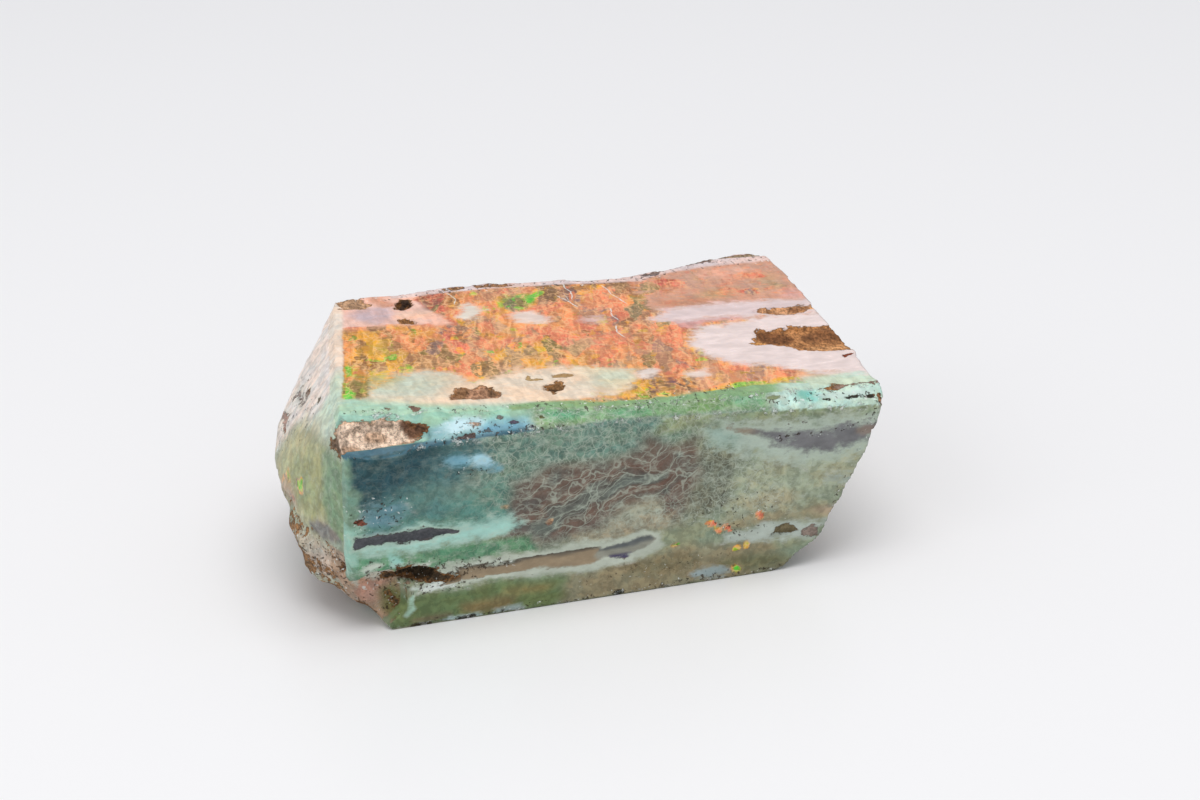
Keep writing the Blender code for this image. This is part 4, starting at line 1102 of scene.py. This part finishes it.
def opal_material(look):
    """One solid opal: body, fire, milky lenses, host rock, pits, and frosted chips with painted glints along
    the edges.
    """
    material = bpy.data.materials.new("opal")
    material.use_nodes = True
    m = Mixer(material)
    m.nodes.clear()
    at = m.scaled(m.add("ShaderNodeTexCoord", {}, "Object"), 1 / MM, 1 / MM, 1 / MM)
    slow = sway_of(m, at, 3.6, 2.0)
    quick = sway_of(m, at, 0.9, 1.0)
    flat = m.scaled(at, 0.5, 1.0, 1.0)
    gritted = m.scaled(at, 0.9, 0.6, 1.0)
    cloud = m.noise(flat, 0.28, 3.0, 0.6)
    grain = m.noise(gritted, 1.10, 5.0, 0.75)
    ragged = m.swing(m.noise(flat, 0.50, 5.0, 0.68), 1.8)

    body, veined = body_layer(m, at, slow, quick, cloud, look)
    lit = m.painted("fire")
    fire = m.times(m.step(m.plus(lit, m.times(ragged, 1.1)), 0.15, 0.85), m.step(lit, 0.03, 0.25))
    shade = m.mix(fire, body, fire_layer(m, at, slow, quick, cloud, look))

    milk = m.step(m.plus(m.painted("milk"), m.times(ragged, 4.0)), -1.8, 1.6)
    milky = m.shaded(m.painted("milk_tint", "Color"), m.step(cloud, 0.30, 0.70), 0.88, 1.08)
    shade = m.mix(milk, shade, milky)

    grit = m.painted("grit")
    rim = m.painted("rock")
    rim = m.plus(rim, m.times(ragged, m.plus(m.times(grit, 5.0), 2.5), m.step(rim, -4.5, -2.5)))
    blur = m.step(grit, 0.0, 0.4, 0.9, 0.35)
    rock = m.step(rim, m.math("MULTIPLY", blur, -1.0), blur)
    halo = m.times(m.step(rim, -3.4, -0.4), m.step(m.painted("web"), 0.0, 0.3), 0.45)
    shade = m.mix(halo, shade, look.vein)
    stone = m.painted("rock_tint", "Color")
    stone = m.mix(m.times(m.step(rim, 0.0, 2.6, 0.40, 0.0), m.step(grit, 0.55, 0.95)), stone, look.rust)
    clump = m.noise(m.scaled(at, 1.0, 0.5, 1.0), 0.34, 3.0, 0.6, 0.8)
    gritty = m.shaded(stone, m.step(grain, 0.36, 0.64), 0.50, 1.50)
    gritty = m.shaded(gritty, m.step(clump, 0.36, 0.62), 0.76, 1.28)
    smooth = m.shaded(stone, m.step(cloud, 0.3, 0.7), 0.85, 1.15)
    shade = m.mix(rock, shade, m.mix(grit, smooth, gritty))
    crease = m.times(m.step(m.math("ABSOLUTE", rim), 0.0, 0.55, 0.5, 0.0), m.step(grit, 0.0, 0.5, 0.3, 1.0))
    shade = m.mix(m.times(crease, m.step(grain, 0.42, 0.56, 0.1, 1.0)), shade, look.speck)

    crumbs = m.painted("crumbs")
    dark, pale, _ = m.channels(m.noise(gritted, 0.95, 3.0, 0.62, 0.4, "Color"))
    some = m.step(crumbs, 0.02, 0.20)
    white = m.times(m.step(m.plus(pale, m.times(crumbs, 0.05)), 0.66, 0.70), some)
    shade = m.mix(m.times(white, 0.75), shade, look.chip)
    pit = m.times(m.step(m.plus(dark, m.times(crumbs, 0.10)), 0.65, 0.69), some)
    shade = m.mix(m.times(pit, 0.80), shade, look.speck)
    # White along the arrises: frosted chips and painted highlights where the edges catch the light
    chip = m.times(m.painted("chip"), m.step(grain, 0.50, 0.58))
    shade = m.mix(m.times(chip, 0.75), shade, look.chip)
    line = m.math("ABSOLUTE", m.plus(m.painted("scratch"), m.swing(m.noise(at, 0.8, 2.0), 0.9)))
    line = m.times(m.step(line, 0.08, 0.30, 1.0, 0.0), m.painted("scratched"))
    line = m.times(line, m.step(grain, 0.38, 0.50, 0.2, 1.0))
    shade = m.mix(m.times(line, 0.8), shade, look.chip)

    rough = m.painted("rough")
    gloss = m.plus(look.gloss, m.times(rough, look.dull - look.gloss), m.swing(cloud, 0.12))
    gloss = m.math("MAXIMUM", m.between(rock, gloss, 0.80), m.times(chip, 0.5), True)

    height = m.times(grain, m.math("MAXIMUM", m.times(rock, grit), rough), 0.60)
    for form, rise in ((pit, -0.3), (chip, -0.25), (crease, -0.15), (cloud, 0.06), (veined, 0.03)):
        height = m.plus(height, m.times(form, rise))
    normal = m.add("ShaderNodeBump", {"Strength": 1.0, "Distance": MM, "Height": height})

    shader = m.nodes.new("ShaderNodeBsdfPrincipled")
    shader.inputs["IOR"].default_value = 1.45
    shader.inputs["Specular IOR Level"].default_value = 0.22
    shader.inputs["Subsurface Weight"].default_value = look.depth
    shader.inputs["Subsurface Radius"].default_value = (1.0, 0.8, 0.6)
    shader.inputs["Subsurface Scale"].default_value = 2.0 * MM
    m.links.new(shade, shader.inputs["Base Color"])
    m.links.new(gloss, shader.inputs["Roughness"])
    m.links.new(normal, shader.inputs["Normal"])
    output = m.nodes.new("ShaderNodeOutputMaterial")
    m.links.new(shader.outputs[0], output.inputs["Surface"])
    return material


# Operators --------------------------------------------------------------------------------------------

class OPAL_OT_block(bpy.types.Operator):
    """Dress the solid block: fine relief, streaks, fire, lenses and host rock"""

    bl_idname = "opal.block"
    bl_label = "Opal block"

    def execute(self, context):
        shape, look = context.scene.opal_shape, context.scene.opal_finish
        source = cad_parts[NODE]
        planes = ground_planes(source.data)
        piece = fine_skin(source, shape.mesh_step)
        places = Places(*points_of(piece.data), planes)
        fields = paint(places)
        relief(piece, places, fields, shape)
        for name in ("sink", "worn", "edges"):
            fields.pop(name)
        store(piece.data, fields)
        piece.data.shade_smooth()
        piece.data.materials.clear()
        piece.data.materials.append(opal_material(look))
        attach(piece, "root")
        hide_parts(NODE)
        return {"FINISHED"}


class OPAL_OT_studio(bpy.types.Operator):
    """Build the pale floor, the soft lights and the camera"""

    bl_idname = "opal.studio"
    bl_label = "Studio"

    def execute(self, context):
        studio = context.scene.opal_studio
        scene = context.scene
        scene.view_settings.view_transform = "Standard"
        build_floor(scene, studio)
        build_light(scene, studio)
        build_camera(scene, studio)
        return {"FINISHED"}


FLOOR_REACH = 4.0
GAP_UNDER = 0.02 * MM
LOOK_AT = Vector((0.017946, 0.013932, 0.03))


def build_floor(scene, studio):
    mesh = bpy.data.meshes.new("floor")
    corners = [(FLOOR_REACH * x, FLOOR_REACH * y, 0) for x, y in ((-1, -1), (1, -1), (1, 1), (-1, 1))]
    mesh.from_pydata(corners, [], [(0, 1, 2, 3)])
    floor = bpy.data.objects.new("floor", mesh)
    floor.location.z = -GAP_UNDER
    scene.collection.objects.link(floor)
    material = bpy.data.materials.new("floor")
    material.use_nodes = True
    shader = material.node_tree.nodes["Principled BSDF"]
    shader.inputs["Base Color"].default_value = tuple(studio.floor) + (1.0,)
    shader.inputs["Roughness"].default_value = 0.32
    shader.inputs["Specular IOR Level"].default_value = 0.35
    mesh.materials.append(material)


def soft_lamp(scene, name, place, size, watts, tint):
    """A rectangular light that shines at the block. Place and size are in metres."""
    light = bpy.data.lights.new(name, "AREA")
    light.shape = "RECTANGLE"
    light.size, light.size_y = size
    light.energy = watts
    light.color = tint
    lamp = bpy.data.objects.new(name, light)
    lamp.location = place
    lamp.rotation_euler = (-lamp.location).to_track_quat("-Z", "Y").to_euler()
    scene.collection.objects.link(lamp)


def build_light(scene, studio):
    world = bpy.data.worlds.new("studio")
    world.use_nodes = True
    background = world.node_tree.nodes["Background"]
    background.inputs["Color"].default_value = (0.935, 0.955, 1.0, 1.0)
    background.inputs["Strength"].default_value = studio.sky
    scene.world = world
    soft_lamp(scene, "key", (0.1, -0.3, 2.8), (2.6, 2.0), studio.key, (1.0, 0.972, 0.965))
    soft_lamp(scene, "side", (-1.7, -0.9, 1.3), (1.6, 1.2), studio.side, (1.0, 1.0, 1.0))


def build_camera(scene, studio):
    a, e = math.radians(studio.azimuth), math.radians(studio.elevation)
    back = Vector((math.sin(a) * math.cos(e), -math.cos(a) * math.cos(e), math.sin(e)))
    lens = bpy.data.cameras.new("camera")
    lens.lens = studio.lens
    lens.sensor_width = 36.0
    camera = bpy.data.objects.new("camera", lens)
    camera.location = LOOK_AT + back * studio.distance
    camera.rotation_euler = (-back).to_track_quat("-Z", "Y").to_euler()
    scene.collection.objects.link(camera)
    scene.camera = camera


class OPAL_PT_panel(bpy.types.Panel):
    """Shows the buttons and settings for the block and the studio"""

    bl_idname = "OPAL_PT_panel"
    bl_label = "Rough opal"
    bl_space_type = "VIEW_3D"
    bl_region_type = "UI"
    bl_category = "Opal"

    def draw(self, context):
        scene = context.scene
        settings = (
            ("opal.block", scene.opal_shape),
            ("opal.block", scene.opal_finish),
            ("opal.studio", scene.opal_studio),
        )
        for operator, group in settings:
            box = self.layout.box()
            box.operator(operator)
            for name in group.__annotations__:
                box.prop(group, name)


CLASSES = (OpalShape, OpalFinish, OpalStudio, OPAL_OT_block, OPAL_OT_studio, OPAL_PT_panel)


def register():
    for each in CLASSES:
        bpy.utils.register_class(each)
    bpy.types.Scene.opal_shape = bpy.props.PointerProperty(type=OpalShape)
    bpy.types.Scene.opal_finish = bpy.props.PointerProperty(type=OpalFinish)
    bpy.types.Scene.opal_studio = bpy.props.PointerProperty(type=OpalStudio)


def unregister():
    for name in ("opal_shape", "opal_finish", "opal_studio"):
        delattr(bpy.types.Scene, name)
    for each in reversed(CLASSES):
        bpy.utils.unregister_class(each)


def main():
    register()
    bpy.ops.opal.block()
    bpy.ops.opal.studio()


if __name__ == "__main__":
    main()
